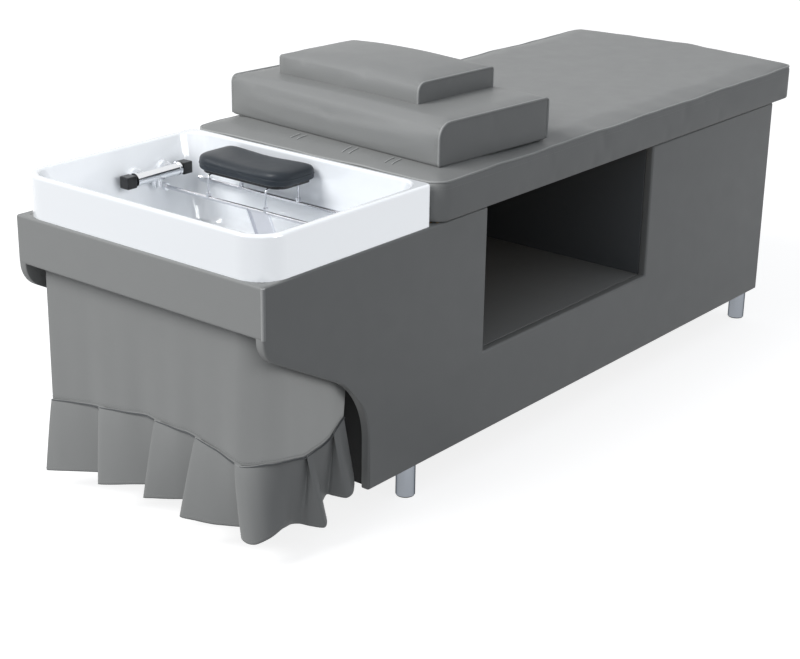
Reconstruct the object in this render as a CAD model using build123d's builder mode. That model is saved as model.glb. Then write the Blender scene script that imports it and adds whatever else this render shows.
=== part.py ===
"""Hair washing bed: an upholstered box with a moulded wash basin at its head end.

Millimetres, +Z up, +X from the head (basin) end to the foot, +Y away from the open side.
The origin is on the floor, under the middle of the bed's length and width.
"""

from build123d import *
import math
import os

os.makedirs("parts", exist_ok=True)

# Overall
overall_length = 1920.0
foot_overhang = 70.0
cabinet_width = 650.0
leg_height = 76.0
panel_top = 565.0

# Upholstered panels and boards
panel_thickness = 20.0
panel_edge_radius = 5.0
board_thickness = 18.0
lining_thickness = 12.0
apron_height = 97.0
overrun = 5.0

# Knee space cut into the head end of both side panels
cut_depth = 288.0
cut_front_height = 432.0
cut_rear_height = 280.0
cut_front_radius = 58.0
cut_rear_radius = 170.0
bulkhead_setback = 300.0

# Cubby, open on the near side
cubby_start = 650.0
cubby_length = 630.0
cubby_floor_height = 257.0

# Deck under the mattress
deck_rail_height = 60.0
deck_rail_thickness = 18.0
deck_head_setback = 486.0
deck_foot_rails = 2
basin_rail_thickness = 22.0
basin_rail_setback = 460.0
corner_block_leg = 26.0
corner_block_height = 40.0

# Legs
leg_radius = 20.0
leg_wall = 2.0
leg_cap = 3.0
leg_inset = 34.0
leg_head_setback = 444.0
leg_pad_height = 5.0
leg_pad_radius = 18.5
stud_radius = 4.0
stud_length = 44.0
leg_block_size = 50.0
leg_block_height = 40.0

# Basin
basin_inset = 5.0
basin_length = 469.0
basin_wall = 4.0
basin_corner_radius = 62.0
basin_foot_corner_radius = 12.0
rim_height = 84.0
rim_width = 14.0
rim_thickness = 8.0
same_height = 0.05
rim_edge_radius = 5.5
bowl_depth = 189.0
bowl_head_slope = 45.0
bowl_foot_slope = 13.0
bowl_side_slope = 60.0
bowl_top_radius = 48.0
bowl_floor_radius = 62.0
bowl_bottom_fillet = 28.0

# Drain
drain_setback = 225.0
drain_dish_radius = 46.0
drain_dish_depth = 6.0
drain_flange_radius = 33.0
drain_flange_thickness = 2.0
drain_radius = 20.0
drain_wall = 2.5
drain_barrel_length = 60.0
drain_hole_clearance = 0.4
gasket_thickness = 3.0
gasket_radius = 31.0
locknut_across_flats = 54.0
locknut_thickness = 8.0
union_radius = 27.0
union_above = 12.0
union_below = 15.0
tailpiece_radius = 16.0
tailpiece_neck_radius = 17.0
tailpiece_wall = 2.0
tailpiece_collar = 3.0
tailpiece_length = 80.0
strainer_clearance = 0.4
strainer_thickness = 1.5
strainer_hole_radius = 1.6
strainer_hole_count = 10
strainer_hole_circle = 10.5
strainer_stem_radius = 2.0
strainer_stem_height = 12.0
strainer_bead_radius = 4.0

# Bar tap on the far wall of the bowl
tap_height = 590.0
tap_setback = 314.5
tap_wall_distance = 60.0
tap_body_length = 122.0
tap_body_radius = 13.0
tap_collar_radius = 14.5
tap_collar_length = 5.0
tap_shank_radius = 9.5
tap_shank_spacing = 80.0
tap_inlet_radius = 8.33
tap_inlet_length = 8.0
tap_shank_clearance = 0.5
tap_boss_radius = 18.0
tap_boss_front = 16.5
tap_boss_back = 33.0
tap_flange_radius = 15.0
tap_washer_radius = 14.0
tap_washer_thickness = 2.5
tap_nut_across_flats = 27.0
tap_nut_thickness = 5.5
outlet_radius = 10.48
outlet_bore_radius = 7.0
outlet_length = 12.0

# Tap knobs
knob_size = 25.0
knob_edge_radius = 2.0
knob_neck_radius = 9.5
knob_neck_length = 3.0
knob_gap = 0.5
spindle_radius = 3.0
spindle_length = 28.0
spindle_clearance = 0.05
spindle_in_knob = 14.0

# Neck rest rails
rail_radius = 4.0
rail_height = 557.0
front_rail_setback = 345.0
back_rail_setback = 440.0
rail_wall_gap = 29.0
socket_radius = 8.0
socket_length = 9.0
socket_bore_depth = 4.0
prop_width = 58.0
prop_thickness = 2.0
prop_flange = 6.0
prop_offset = 10.0
prop_lean = 38.0
prop_pad_height = 3.0

# Neck rest
rest_offset = 70.0
rest_leg_spacing = 157.0
running_gap = 0.3
shoe_width = 9.0
shoe_length = 8.0
shoe_height = 10.0
shoe_seat = 3.5
wire_radius = 2.0
wire_bend_radius = 8.0
wire_top = 604.0
clip_width = 8.0
clip_length = 14.0
clip_wall = 2.0
rest_plate_thickness = 5.0
rest_plate_inset = 9.0
rest_length = 240.0
rest_depth = 113.0
rest_setback = 340.0
rest_thickness = 35.0
rest_dip = 5.0
rest_front_radius = 38.0
rest_back_radius = 20.0
rest_edge_radius = 9.0

# Mattress
mattress_setback = 483.0
mattress_overhang = 5.0
mattress_thickness = 83.0
mattress_crown = 7.0
mattress_shoulder = 60.0
mattress_corner_radius = 34.0
mattress_drawn_in = 2.0
mattress_board_thickness = 12.0
mattress_board_inset = 13.0

# Bolster and pillow, each turned a little on what it lies on
lie_gap = 0.3
bolster_depth = 330.0
bolster_length = 595.0
bolster_height = 84.0
bolster_crown = 5.0
bolster_front_radius = 34.0
bolster_corner_radius = 12.0
bolster_drawn_in = 2.5
bolster_setback = 738.0
bolster_offset = 5.0
bolster_turn = -4.5
pillow_depth = 230.0
pillow_length = 406.0
pillow_height = 44.0
pillow_crown = 9.0
pillow_front_radius = 18.0
pillow_corner_radius = 10.0
pillow_drawn_in = 1.5
pillow_setback = 756.5
pillow_offset = 34.5
pillow_turn = -3.5

# Curtain
cloth_thickness = 1.6
hang_gap = 0.3
fastener_thickness = 4.0
fastener_height = 25.0
curtain_top = 520.0
curtain_seam_height = 200.0
curtain_hem_height = 30.0
curtain_corner_radius = 65.0
curtain_far_margin = 37.0
curtain_side_end = 268.0
curtain_top_swing = 1.0
curtain_seam_swing = 3.0
curtain_hem_swing = 9.0
curtain_hem_spread = 8.0
curtain_half_folds = 14

# Places that follow from the sizes above
head_x = -overall_length / 2
foot_x = overall_length / 2 - foot_overhang
half_width = cabinet_width / 2
inner_half_width = half_width - panel_thickness
floor_top = leg_height + board_thickness
rim_top = panel_top + rim_height
bowl_floor = rim_top - bowl_depth
basin_width = cabinet_width - 2 * basin_inset
basin_x = head_x + basin_inset + basin_length / 2
bowl_length = basin_length - 2 * rim_width
bowl_width = basin_width - 2 * rim_width
drain_x = head_x + drain_setback
dish_floor = bowl_floor - drain_dish_depth
dish_underside = dish_floor - basin_wall
tap_x = head_x + tap_setback
tap_y = half_width - tap_wall_distance
rest_y = rest_offset
mattress_top = panel_top + mattress_thickness
bolster_base = mattress_top + mattress_crown + lie_gap
pillow_base = bolster_base + bolster_height + bolster_crown + lie_gap


def write(piece, name):
    """Labels a finished piece and writes its file."""
    piece.part.label = name
    export_step(piece.part, f"parts/{name}.step")


def block(low, high, mode=Mode.ADD):
    """A square-edged board between two opposite corners."""
    size = [b - a for a, b in zip(low, high)]
    middle = [(a + b) / 2 for a, b in zip(low, high)]
    with Locations(tuple(middle)):
        Box(*size, mode=mode)


def rod_along_y(x, z, radius, start, end, mode=Mode.ADD):
    """A round bar between two Y places."""
    with BuildSketch(Plane.XZ.offset(-end)) as section:
        with Locations((x, z)):
            Circle(radius)
    extrude(section.sketch, amount=end - start, mode=mode)


def rod_along_x(y, z, radius, start, end, mode=Mode.ADD):
    """A round bar between two X places."""
    with BuildSketch(Plane.YZ.offset(start)) as section:
        with Locations((y, z)):
            Circle(radius)
    extrude(section.sketch, amount=end - start, mode=mode)


def ring(centre, inner, outer, low, high):
    """A flat ring on a vertical axis."""
    with BuildSketch(Plane.XY.offset(low)) as section:
        with Locations(centre):
            Circle(outer)
            Circle(inner, mode=Mode.SUBTRACT)
    extrude(section.sketch, amount=high - low)


# Side panels

def panel_outline():
    """Side panel seen from the side: the head end is cut away over the knee space."""
    points = [
        (head_x, panel_top),
        (head_x, cut_front_height),
        (head_x + cut_depth, cut_rear_height),
        (head_x + cut_depth, leg_height),
        (foot_x, leg_height),
        (foot_x, panel_top),
    ]
    radii = [0, cut_front_radius, cut_rear_radius, 0, 0, 0]
    with BuildLine() as outline:
        FilletPolyline(*points, radius=radii, close=True)
    make_face(outline.line)


def round_outer_edges(piece, outer_y):
    """Rounds every edge of the outer face, as foam under the cover does."""
    face = piece.faces().filter_by(Plane.XZ).sort_by(lambda f: abs(f.center().Y - outer_y))[0]
    fillet(face.edges(), panel_edge_radius)


with BuildPart() as near_side_panel:
    with BuildSketch(Plane.XZ.offset(half_width)):
        panel_outline()
        with Locations((head_x + cubby_start + cubby_length / 2, panel_top)):
            Rectangle(cubby_length, 2 * (panel_top - cubby_floor_height), mode=Mode.SUBTRACT)
    extrude(amount=-panel_thickness)
    round_outer_edges(near_side_panel, -half_width)

with BuildPart() as far_side_panel:
    with BuildSketch(Plane.XZ.offset(-half_width)):
        panel_outline()
    extrude(amount=panel_thickness)
    round_outer_edges(far_side_panel, half_width)

write(near_side_panel, "near_side_panel")
write(far_side_panel, "far_side_panel")

# Head, foot and inner boards of the cabinet

with BuildPart() as head_apron:
    block(
        (head_x, -inner_half_width, panel_top - apron_height),
        (head_x + panel_thickness, inner_half_width, panel_top),
    )
    lower_front = head_apron.edges().filter_by(Axis.Y).group_by(Axis.Z)[0].sort_by(Axis.X)[0]
    fillet(lower_front, panel_edge_radius)

with BuildPart() as foot_panel:
    block(
        (foot_x - panel_thickness, -inner_half_width, leg_height),
        (foot_x, inner_half_width, panel_top),
    )

bulkhead_x = head_x + bulkhead_setback
bulkhead_top = bowl_floor - basin_wall
with BuildPart() as bulkhead_panel:
    block(
        (bulkhead_x, -inner_half_width, leg_height),
        (bulkhead_x + board_thickness, inner_half_width, bulkhead_top),
    )

cubby_x = head_x + cubby_start
cubby_end_x = cubby_x + cubby_length
back_board_y = inner_half_width - lining_thickness
with BuildPart() as cubby_head_wall:
    block(
        (cubby_x - board_thickness, -inner_half_width, floor_top),
        (cubby_x, inner_half_width, panel_top),
    )

with BuildPart() as cubby_foot_wall:
    block(
        (cubby_end_x, -inner_half_width, floor_top),
        (cubby_end_x + board_thickness, inner_half_width, panel_top),
    )

with BuildPart() as cubby_floor:
    block(
        (cubby_x, -inner_half_width, cubby_floor_height - board_thickness),
        (cubby_end_x, inner_half_width, cubby_floor_height),
    )

with BuildPart() as cubby_back_board:
    block((cubby_x, back_board_y, cubby_floor_height), (cubby_end_x, inner_half_width, panel_top))

write(head_apron, "head_apron")
write(foot_panel, "foot_panel")
write(bulkhead_panel, "bulkhead_panel")
write(cubby_head_wall, "cubby_head_wall")
write(cubby_foot_wall, "cubby_foot_wall")
write(cubby_floor, "cubby_floor")
write(cubby_back_board, "cubby_back_board")

# Rails under the mattress and the basin

cubby_wall_end_x = cubby_end_x + board_thickness
foot_room = foot_x - panel_thickness - cubby_wall_end_x
foot_bays = deck_foot_rails + 1
foot_gap = (foot_room - deck_foot_rails * deck_rail_thickness) / foot_bays
foot_pitch = foot_gap + deck_rail_thickness
foot_rails = [cubby_wall_end_x + foot_gap + i * foot_pitch for i in range(deck_foot_rails)]
with BuildPart() as deck_cross_rails:
    for x in [head_x + deck_head_setback] + foot_rails:
        block(
            (x, -inner_half_width, panel_top - deck_rail_height),
            (x + deck_rail_thickness, inner_half_width, panel_top),
        )

with BuildPart() as basin_cross_rail:
    block(
        (head_x + basin_rail_setback, -inner_half_width, panel_top - deck_rail_height),
        (head_x + basin_rail_setback + basin_rail_thickness, inner_half_width, panel_top),
    )

with BuildPart() as corner_blocks:
    with BuildSketch(Plane.XY.offset(panel_top - corner_block_height)):
        for side in (-1, 1):
            corner = (head_x + panel_thickness, side * inner_half_width)
            with BuildLine():
                Polyline(
                    corner,
                    (corner[0] + corner_block_leg, corner[1]),
                    (corner[0], corner[1] - side * corner_block_leg),
                    close=True,
                )
            make_face()
    extrude(amount=corner_block_height)

write(deck_cross_rails, "deck_cross_rails")
write(basin_cross_rail, "basin_cross_rail")
write(corner_blocks, "corner_blocks")

# Bottom board, leg blocks and legs

leg_y = half_width - leg_inset
leg_x_head = head_x + leg_head_setback
leg_x_foot = foot_x - leg_inset
block_x_foot = foot_x - panel_thickness - leg_block_size / 2
leg_block_y = inner_half_width - leg_block_size / 2
leg_places = {
    "near_head_leg": (leg_x_head, -leg_y),
    "far_head_leg": (leg_x_head, leg_y),
    "near_foot_leg": (leg_x_foot, -leg_y),
    "far_foot_leg": (leg_x_foot, leg_y),
}


def stud_holes():
    """Holes that the studs of the four legs screw into."""
    with BuildSketch(Plane.XY.offset(leg_height)) as holes:
        with Locations(*leg_places.values()):
            Circle(stud_radius)
    extrude(holes.sketch, amount=stud_length, mode=Mode.SUBTRACT)


with BuildPart() as bottom_board:
    block(
        (bulkhead_x + board_thickness, -inner_half_width, leg_height),
        (foot_x - panel_thickness, inner_half_width, floor_top),
    )
    stud_holes()

with BuildPart() as leg_blocks:
    with BuildSketch(Plane.XY.offset(floor_top)):
        for x in (leg_x_head, block_x_foot):
            with Locations((x, -leg_block_y), (x, leg_block_y)):
                Rectangle(leg_block_size, leg_block_size)
    extrude(amount=leg_block_height)
    stud_holes()

write(bottom_board, "bottom_board")
write(leg_blocks, "leg_blocks")

for name, place in leg_places.items():
    with BuildPart() as leg:
        with BuildSketch(Plane.XY.offset(leg_pad_height / 2)):
            with Locations(place):
                Circle(leg_radius)
        extrude(amount=leg_height - leg_pad_height / 2)
        with BuildSketch(Plane.XY.offset(leg_pad_height / 2)):
            with Locations(place):
                Circle(leg_radius - leg_wall)
        extrude(amount=leg_height - leg_pad_height / 2 - leg_cap, mode=Mode.SUBTRACT)
        with BuildSketch(Plane.XY.offset(leg_height)):
            with Locations(place):
                Circle(stud_radius)
        extrude(amount=stud_length)
    write(leg, name)

with BuildPart() as leg_pads:
    with BuildSketch():
        with Locations(*leg_places.values()):
            Circle(leg_pad_radius)
    extrude(amount=leg_pad_height / 2)
    with BuildSketch(Plane.XY.offset(leg_pad_height / 2)):
        with Locations(*leg_places.values()):
            Circle(leg_radius - leg_wall)
    extrude(amount=leg_pad_height)
write(leg_pads, "leg_pads")

# Basin: an outer skirt that stands on the cabinet, a rolled rim, and a sloping bowl


def bowl_form(grow, mode):
    """The bowl's hollow, or its outside where the wall is added all round."""
    top_x = basin_x
    bottom_x = basin_x + (bowl_head_slope - bowl_foot_slope) / 2
    bottom_length = bowl_length - bowl_head_slope - bowl_foot_slope
    bottom_width = bowl_width - 2 * bowl_side_slope
    with BuildSketch(Plane.XY.offset(rim_top)) as mouth:
        with Locations((top_x, 0)):
            RectangleRounded(bowl_length + 2 * grow, bowl_width + 2 * grow, bowl_top_radius + grow)
    with BuildSketch(Plane.XY.offset(bowl_floor - grow)) as base:
        with Locations((bottom_x, 0)):
            RectangleRounded(bottom_length + 2 * grow, bottom_width + 2 * grow, bowl_floor_radius + grow)
    loft([mouth.sketch, base.sketch], ruled=True, mode=mode)


def basin_outline(inset):
    """The basin seen from above: round corners at the head, almost square ones at the mattress."""
    length, width = basin_length - 2 * inset, basin_width - 2 * inset
    with Locations((basin_x, 0)):
        RectangleRounded(length, width, basin_corner_radius - inset)
    with Locations((basin_x + length / 4, 0)):
        RectangleRounded(length / 2, width, basin_foot_corner_radius - inset)


def level_edges(piece, height):
    """Edges that lie level at one height."""
    return piece.edges().filter_by_position(Axis.Z, height - same_height, height + same_height)


def dish(grow, mode):
    """Shallow cone that leads the water to the drain."""
    with BuildSketch(Plane.XY.offset(bowl_floor - grow)) as wide:
        with Locations((drain_x, 0)):
            Circle(drain_dish_radius + grow)
    with BuildSketch(Plane.XY.offset(dish_floor - grow)) as narrow:
        with Locations((drain_x, 0)):
            Circle(drain_flange_radius + grow)
    loft([wide.sketch, narrow.sketch], ruled=True, mode=mode)


with BuildPart() as bowl_space:
    bowl_form(0, Mode.ADD)
    fillet(level_edges(bowl_space, bowl_floor), bowl_bottom_fillet)

with BuildPart() as bowl_outside:
    bowl_form(basin_wall, Mode.ADD)
    fillet(level_edges(bowl_outside, bowl_floor - basin_wall), bowl_bottom_fillet + basin_wall)

shank_places = [tap_x - tap_shank_spacing / 2, tap_x + tap_shank_spacing / 2]

with BuildPart() as basin_shell:
    with BuildSketch(Plane.XY.offset(panel_top)):
        basin_outline(0)
    extrude(amount=rim_height)
    with BuildSketch(Plane.XY.offset(panel_top)):
        basin_outline(basin_wall)
    extrude(amount=rim_height - rim_thickness, mode=Mode.SUBTRACT)
    add(bowl_outside.part)
    dish(basin_wall, Mode.ADD)
    for x in shank_places:
        rod_along_y(x, tap_height, tap_boss_radius, tap_y + tap_boss_front, tap_y + tap_boss_back)
    add(bowl_space.part, mode=Mode.SUBTRACT)
    dish(0, Mode.SUBTRACT)
    for x in shank_places:
        rod_along_y(x, tap_height, tap_boss_radius, tap_y + tap_boss_front, tap_y + tap_boss_back)
        rod_along_y(
            x,
            tap_height,
            tap_shank_radius + tap_shank_clearance,
            tap_y + tap_boss_front - overrun,
            tap_y + tap_boss_back + overrun,
            mode=Mode.SUBTRACT,
        )
    with BuildSketch(Plane.XY.offset(dish_underside - overrun)):
        with Locations((drain_x, 0)):
            Circle(drain_radius + drain_hole_clearance)
    extrude(amount=basin_wall + 2 * overrun, mode=Mode.SUBTRACT)
    fillet(level_edges(basin_shell, rim_top), rim_edge_radius)
write(basin_shell, "basin_shell")

# Drain

barrel_bottom = dish_floor - drain_barrel_length
with BuildPart() as drain_cup:
    flange_top = dish_floor + drain_flange_thickness
    ring((drain_x, 0), drain_radius - drain_wall, drain_flange_radius, dish_floor, flange_top)
    ring((drain_x, 0), drain_radius - drain_wall, drain_radius, barrel_bottom, dish_floor)
    seat_low = dish_floor - strainer_stem_height / 2
    ring((drain_x, 0), drain_radius - 2 * drain_wall, drain_radius, seat_low - drain_wall, seat_low)

gasket_low = dish_underside - gasket_thickness
with BuildPart() as drain_gasket:
    ring((drain_x, 0), drain_radius, gasket_radius, gasket_low, dish_underside)

with BuildPart() as drain_locknut:
    with BuildSketch(Plane.XY.offset(gasket_low - locknut_thickness)):
        with Locations((drain_x, 0)):
            RegularPolygon(locknut_across_flats / 2, 6, major_radius=False)
            Circle(drain_radius, mode=Mode.SUBTRACT)
    extrude(amount=locknut_thickness)

drain_place = (drain_x, 0)
collar_low = barrel_bottom - tailpiece_collar
tailpiece_bore = tailpiece_radius - tailpiece_wall
with BuildPart() as drain_tailpiece:
    ring(drain_place, tailpiece_bore, drain_radius, collar_low, barrel_bottom)
    ring(drain_place, tailpiece_bore, tailpiece_neck_radius, barrel_bottom - union_below, collar_low)
    ring(drain_place, tailpiece_bore, tailpiece_radius, barrel_bottom - tailpiece_length, collar_low)

with BuildPart() as drain_union:
    ring(drain_place, tailpiece_neck_radius, union_radius, barrel_bottom - union_below, collar_low)
    ring(drain_place, drain_radius, union_radius, collar_low, barrel_bottom + union_above)
    fillet(drain_union.edges().filter_by(GeomType.CIRCLE).sort_by(SortBy.RADIUS)[-2:], drain_wall)

strainer_radius = drain_radius - drain_wall - strainer_clearance
strainer_low = seat_low + lie_gap
with BuildPart() as strainer:
    with BuildSketch(Plane.XY.offset(strainer_low)):
        with Locations((drain_x, 0)):
            Circle(strainer_radius)
            with PolarLocations(strainer_hole_circle, strainer_hole_count):
                Circle(strainer_hole_radius, mode=Mode.SUBTRACT)
    extrude(amount=strainer_thickness)
    with BuildSketch(Plane.XY.offset(strainer_low)):
        with Locations((drain_x, 0)):
            Circle(strainer_stem_radius)
    extrude(amount=strainer_stem_height)
    with Locations((drain_x, 0, strainer_low + strainer_stem_height)):
        Sphere(strainer_bead_radius)

write(drain_cup, "drain_cup")
write(drain_gasket, "drain_gasket")
write(drain_locknut, "drain_locknut")
write(drain_tailpiece, "drain_tailpiece")
write(drain_union, "drain_union")
write(strainer, "strainer")

# Bar tap

tap_low_x = tap_x - tap_body_length / 2
tap_high_x = tap_x + tap_body_length / 2
spindle_in_body = spindle_length - spindle_in_knob - knob_gap

with BuildPart() as tap_body:
    rod_along_x(tap_y, tap_height, tap_body_radius, tap_low_x, tap_high_x)
    for start in (tap_low_x, tap_high_x - tap_collar_length):
        rod_along_x(tap_y, tap_height, tap_collar_radius, start, start + tap_collar_length)
    shank_end_y = tap_y + tap_boss_back + tap_washer_thickness + tap_nut_thickness
    for x in shank_places:
        rod_along_y(x, tap_height, tap_shank_radius, tap_y, shank_end_y)
        rod_along_y(x, tap_height, tap_inlet_radius, shank_end_y, shank_end_y + tap_inlet_length)
    with BuildSketch(Plane.XY.offset(tap_height - tap_body_radius - outlet_length)):
        with Locations((tap_x, tap_y)):
            Circle(outlet_radius)
    extrude(amount=outlet_length + tap_body_radius / 2)
    with BuildSketch(Plane.XY.offset(tap_height - tap_body_radius - outlet_length)):
        with Locations((tap_x, tap_y)):
            Circle(outlet_bore_radius)
    extrude(amount=outlet_length, mode=Mode.SUBTRACT)
    bore = spindle_radius + spindle_clearance
    for start, end in (
        (tap_low_x, tap_low_x + spindle_in_body + knob_gap),
        (tap_high_x - spindle_in_body - knob_gap, tap_high_x),
    ):
        rod_along_x(tap_y, tap_height, bore, start, end, mode=Mode.SUBTRACT)

with BuildPart() as tap_wall_flanges:
    for x in shank_places:
        rod_along_y(x, tap_height, tap_flange_radius, tap_y + tap_body_radius, tap_y + tap_boss_front)
        rod_along_y(x, tap_height, tap_shank_radius, tap_y, tap_y + tap_boss_front, Mode.SUBTRACT)

washer_back = tap_boss_back + tap_washer_thickness
with BuildPart() as tap_washers:
    for x in shank_places:
        rod_along_y(x, tap_height, tap_washer_radius, tap_y + tap_boss_back, tap_y + washer_back)
        rod_along_y(x, tap_height, tap_shank_radius, tap_y, tap_y + washer_back, Mode.SUBTRACT)

with BuildPart() as tap_back_nuts:
    with BuildSketch(Plane.XZ.offset(-(tap_y + washer_back + tap_nut_thickness))):
        with Locations(*[(x, tap_height) for x in shank_places]):
            RegularPolygon(tap_nut_across_flats / 2, 6, major_radius=False)
            Circle(tap_shank_radius, mode=Mode.SUBTRACT)
    extrude(amount=tap_nut_thickness)

write(tap_body, "tap_body")
write(tap_wall_flanges, "tap_wall_flanges")
write(tap_washers, "tap_washers")
write(tap_back_nuts, "tap_back_nuts")

for knob_name, spindle_name, end_x, out in (
    ("flow_knob", "flow_spindle", tap_low_x, -1),
    ("temperature_knob", "temperature_spindle", tap_high_x, 1),
):
    neck_x = end_x + out * knob_gap
    cube_x = neck_x + out * knob_neck_length
    with BuildPart() as knob:
        with Locations((cube_x + out * knob_size / 2, tap_y, tap_height)):
            Box(knob_size, knob_size, knob_size)
        fillet(knob.edges(), knob_edge_radius)
        neck = sorted((neck_x, cube_x + out * knob_edge_radius))
        rod_along_x(tap_y, tap_height, knob_neck_radius, *neck)
        inside_x = neck_x + out * spindle_in_knob
        socket = sorted((neck_x, inside_x))
        rod_along_x(tap_y, tap_height, spindle_radius, *socket, mode=Mode.SUBTRACT)
    write(knob, knob_name)
    with BuildPart() as spindle:
        shaft = sorted((end_x - out * spindle_in_body, inside_x))
        rod_along_x(tap_y, tap_height, spindle_radius, *shaft)
    write(spindle, spindle_name)

# Rails of the neck rest, from wall to wall of the bowl

front_rail_x = head_x + front_rail_setback
back_rail_x = head_x + back_rail_setback


def socket_face(x):
    """Y of a socket's face, its length away from the bowl wall where the wall is nearest."""
    share = (rim_top - rail_height) / bowl_depth
    side_y = bowl_width / 2 - bowl_side_slope * share
    foot_wall_x = basin_x + bowl_length / 2 - bowl_foot_slope * share
    corner = bowl_top_radius + (bowl_floor_radius - bowl_top_radius) * share
    into_corner = max(0, x + socket_radius - (foot_wall_x - corner))
    return side_y - corner + math.sqrt(corner**2 - into_corner**2) - socket_length


for name, x in (("front_rail", front_rail_x), ("back_rail", back_rail_x)):
    with BuildPart() as rail:
        end = socket_face(x) + socket_bore_depth
        rod_along_y(x, rail_height, rail_radius, -end, end)
    write(rail, name)

with BuildPart() as rail_sockets:
    for x in (front_rail_x, back_rail_x):
        rod_along_y(x, rail_height, socket_radius, socket_face(x), half_width)
        rod_along_y(x, rail_height, socket_radius, -half_width, -socket_face(x))
    add(bowl_space.part, mode=Mode.INTERSECT)
    for x in (front_rail_x, back_rail_x):
        end = socket_face(x) + socket_bore_depth
        rod_along_y(x, rail_height, rail_radius, -end, end, mode=Mode.SUBTRACT)
write(rail_sockets, "rail_sockets")

prop_foot_z = bowl_floor + prop_pad_height
prop_foot_x = front_rail_x + prop_lean
prop_low_y = prop_offset - prop_width / 2
prop_high_y = prop_offset + prop_width / 2


def prop_strip(thickness, low_y, high_y):
    """Leaning strip under the front rail, from the rail down to the pad."""
    with BuildSketch(Plane.XZ.offset(-high_y)) as section:
        with BuildLine():
            Polyline(
                (front_rail_x - thickness, rail_height),
                (front_rail_x, rail_height),
                (prop_foot_x, prop_foot_z),
                (prop_foot_x - thickness, prop_foot_z),
                close=True,
            )
        make_face()
    extrude(section.sketch, amount=high_y - low_y)


with BuildPart() as rail_prop:
    prop_strip(prop_thickness, prop_low_y, prop_high_y)
    prop_strip(prop_flange, prop_low_y, prop_low_y + prop_thickness)
    prop_strip(prop_flange, prop_high_y - prop_thickness, prop_high_y)
    rod_along_y(front_rail_x, rail_height, rail_radius, prop_low_y, prop_high_y, Mode.SUBTRACT)
    with BuildSketch(Plane.XZ.offset(-prop_high_y)):
        with Locations((front_rail_x, rail_height + rail_radius)):
            Rectangle(4 * rail_radius, 2 * rail_radius)
    extrude(amount=prop_width, mode=Mode.SUBTRACT)

with BuildPart() as prop_pad:
    block(
        (prop_foot_x - 2 * prop_flange, prop_low_y - prop_thickness, bowl_floor),
        (prop_foot_x + prop_flange, prop_high_y + prop_thickness, prop_foot_z),
    )
    fillet(prop_pad.edges().filter_by(Axis.Z), prop_thickness)

write(rail_prop, "rail_prop")
write(prop_pad, "prop_pad")

# Neck rest: shoes, wire legs, plate and cushion

rest_leg_y = [rest_y - rest_leg_spacing / 2, rest_y + rest_leg_spacing / 2]
shoe_top = rail_height + shoe_height
wire_end = shoe_top - shoe_seat
with BuildPart() as rail_shoes:
    for y in rest_leg_y:
        for x in (front_rail_x, back_rail_x):
            block(
                (x - shoe_width / 2, y - shoe_length / 2, rail_height + running_gap),
                (x + shoe_width / 2, y + shoe_length / 2, shoe_top),
            )
    fillet(rail_shoes.edges().filter_by(Axis.Z), wire_radius)
    for x in (front_rail_x, back_rail_x):
        rod_along_y(
            x, rail_height, rail_radius + running_gap,
            rest_leg_y[0] - shoe_length, rest_leg_y[1] + shoe_length, Mode.SUBTRACT,
        )
    with BuildSketch(Plane.XY.offset(wire_end)):
        with Locations(*[(x, y) for x in (front_rail_x, back_rail_x) for y in rest_leg_y]):
            Circle(wire_radius + running_gap)
    extrude(amount=shoe_seat, mode=Mode.SUBTRACT)
write(rail_shoes, "rail_shoes")

with BuildPart() as rest_wires:
    for y in rest_leg_y:
        with BuildLine() as bend:
            FilletPolyline(
                (front_rail_x, y, wire_end + running_gap),
                (front_rail_x, y, wire_top),
                (back_rail_x, y, wire_top),
                (back_rail_x, y, wire_end + running_gap),
                radius=wire_bend_radius,
            )
        with BuildSketch(Plane((front_rail_x, y, wire_end + running_gap), z_dir=(0, 0, 1))):
            Circle(wire_radius)
        sweep(path=bend.line)
write(rest_wires, "rest_wires")

rest_x = head_x + rest_setback + rest_depth / 2
plate_low = wire_top + wire_radius
plate_top = plate_low + rest_plate_thickness
rail_middle_x = (front_rail_x + back_rail_x) / 2
clip_places = [(rail_middle_x + side * clip_length, y) for side in (-1, 1) for y in rest_leg_y]
with BuildPart() as wire_clips:
    for x, y in clip_places:
        block(
            (x - clip_width / 2, y - clip_length / 2, wire_top - wire_radius - clip_wall),
            (x + clip_width / 2, y + clip_length / 2, plate_low),
        )
    for y in rest_leg_y:
        rod_along_x(y, wire_top, wire_radius, front_rail_x, back_rail_x, Mode.SUBTRACT)
        block(
            (front_rail_x, y - wire_radius, wire_top),
            (back_rail_x, y + wire_radius, plate_low),
            mode=Mode.SUBTRACT,
        )
write(wire_clips, "wire_clips")


def rest_outline(inset):
    """Neck rest seen from above: wide rounds at the front, smaller ones behind."""
    half_depth = rest_depth / 2 - inset
    half_length = rest_length / 2 - inset
    front = rest_front_radius - inset
    back = rest_back_radius - inset
    corners = [
        (rest_x - half_depth, rest_y - half_length),
        (rest_x + half_depth, rest_y - half_length),
        (rest_x + half_depth, rest_y + half_length),
        (rest_x - half_depth, rest_y + half_length),
    ]
    with BuildLine() as outline:
        FilletPolyline(*corners, radius=[front, back, back, front], close=True)
    make_face(outline.line)


with BuildPart() as rest_plate:
    with BuildSketch(Plane.XY.offset(plate_low)):
        rest_outline(rest_plate_inset)
    extrude(amount=rest_plate_thickness)
write(rest_plate, "rest_plate")

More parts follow.
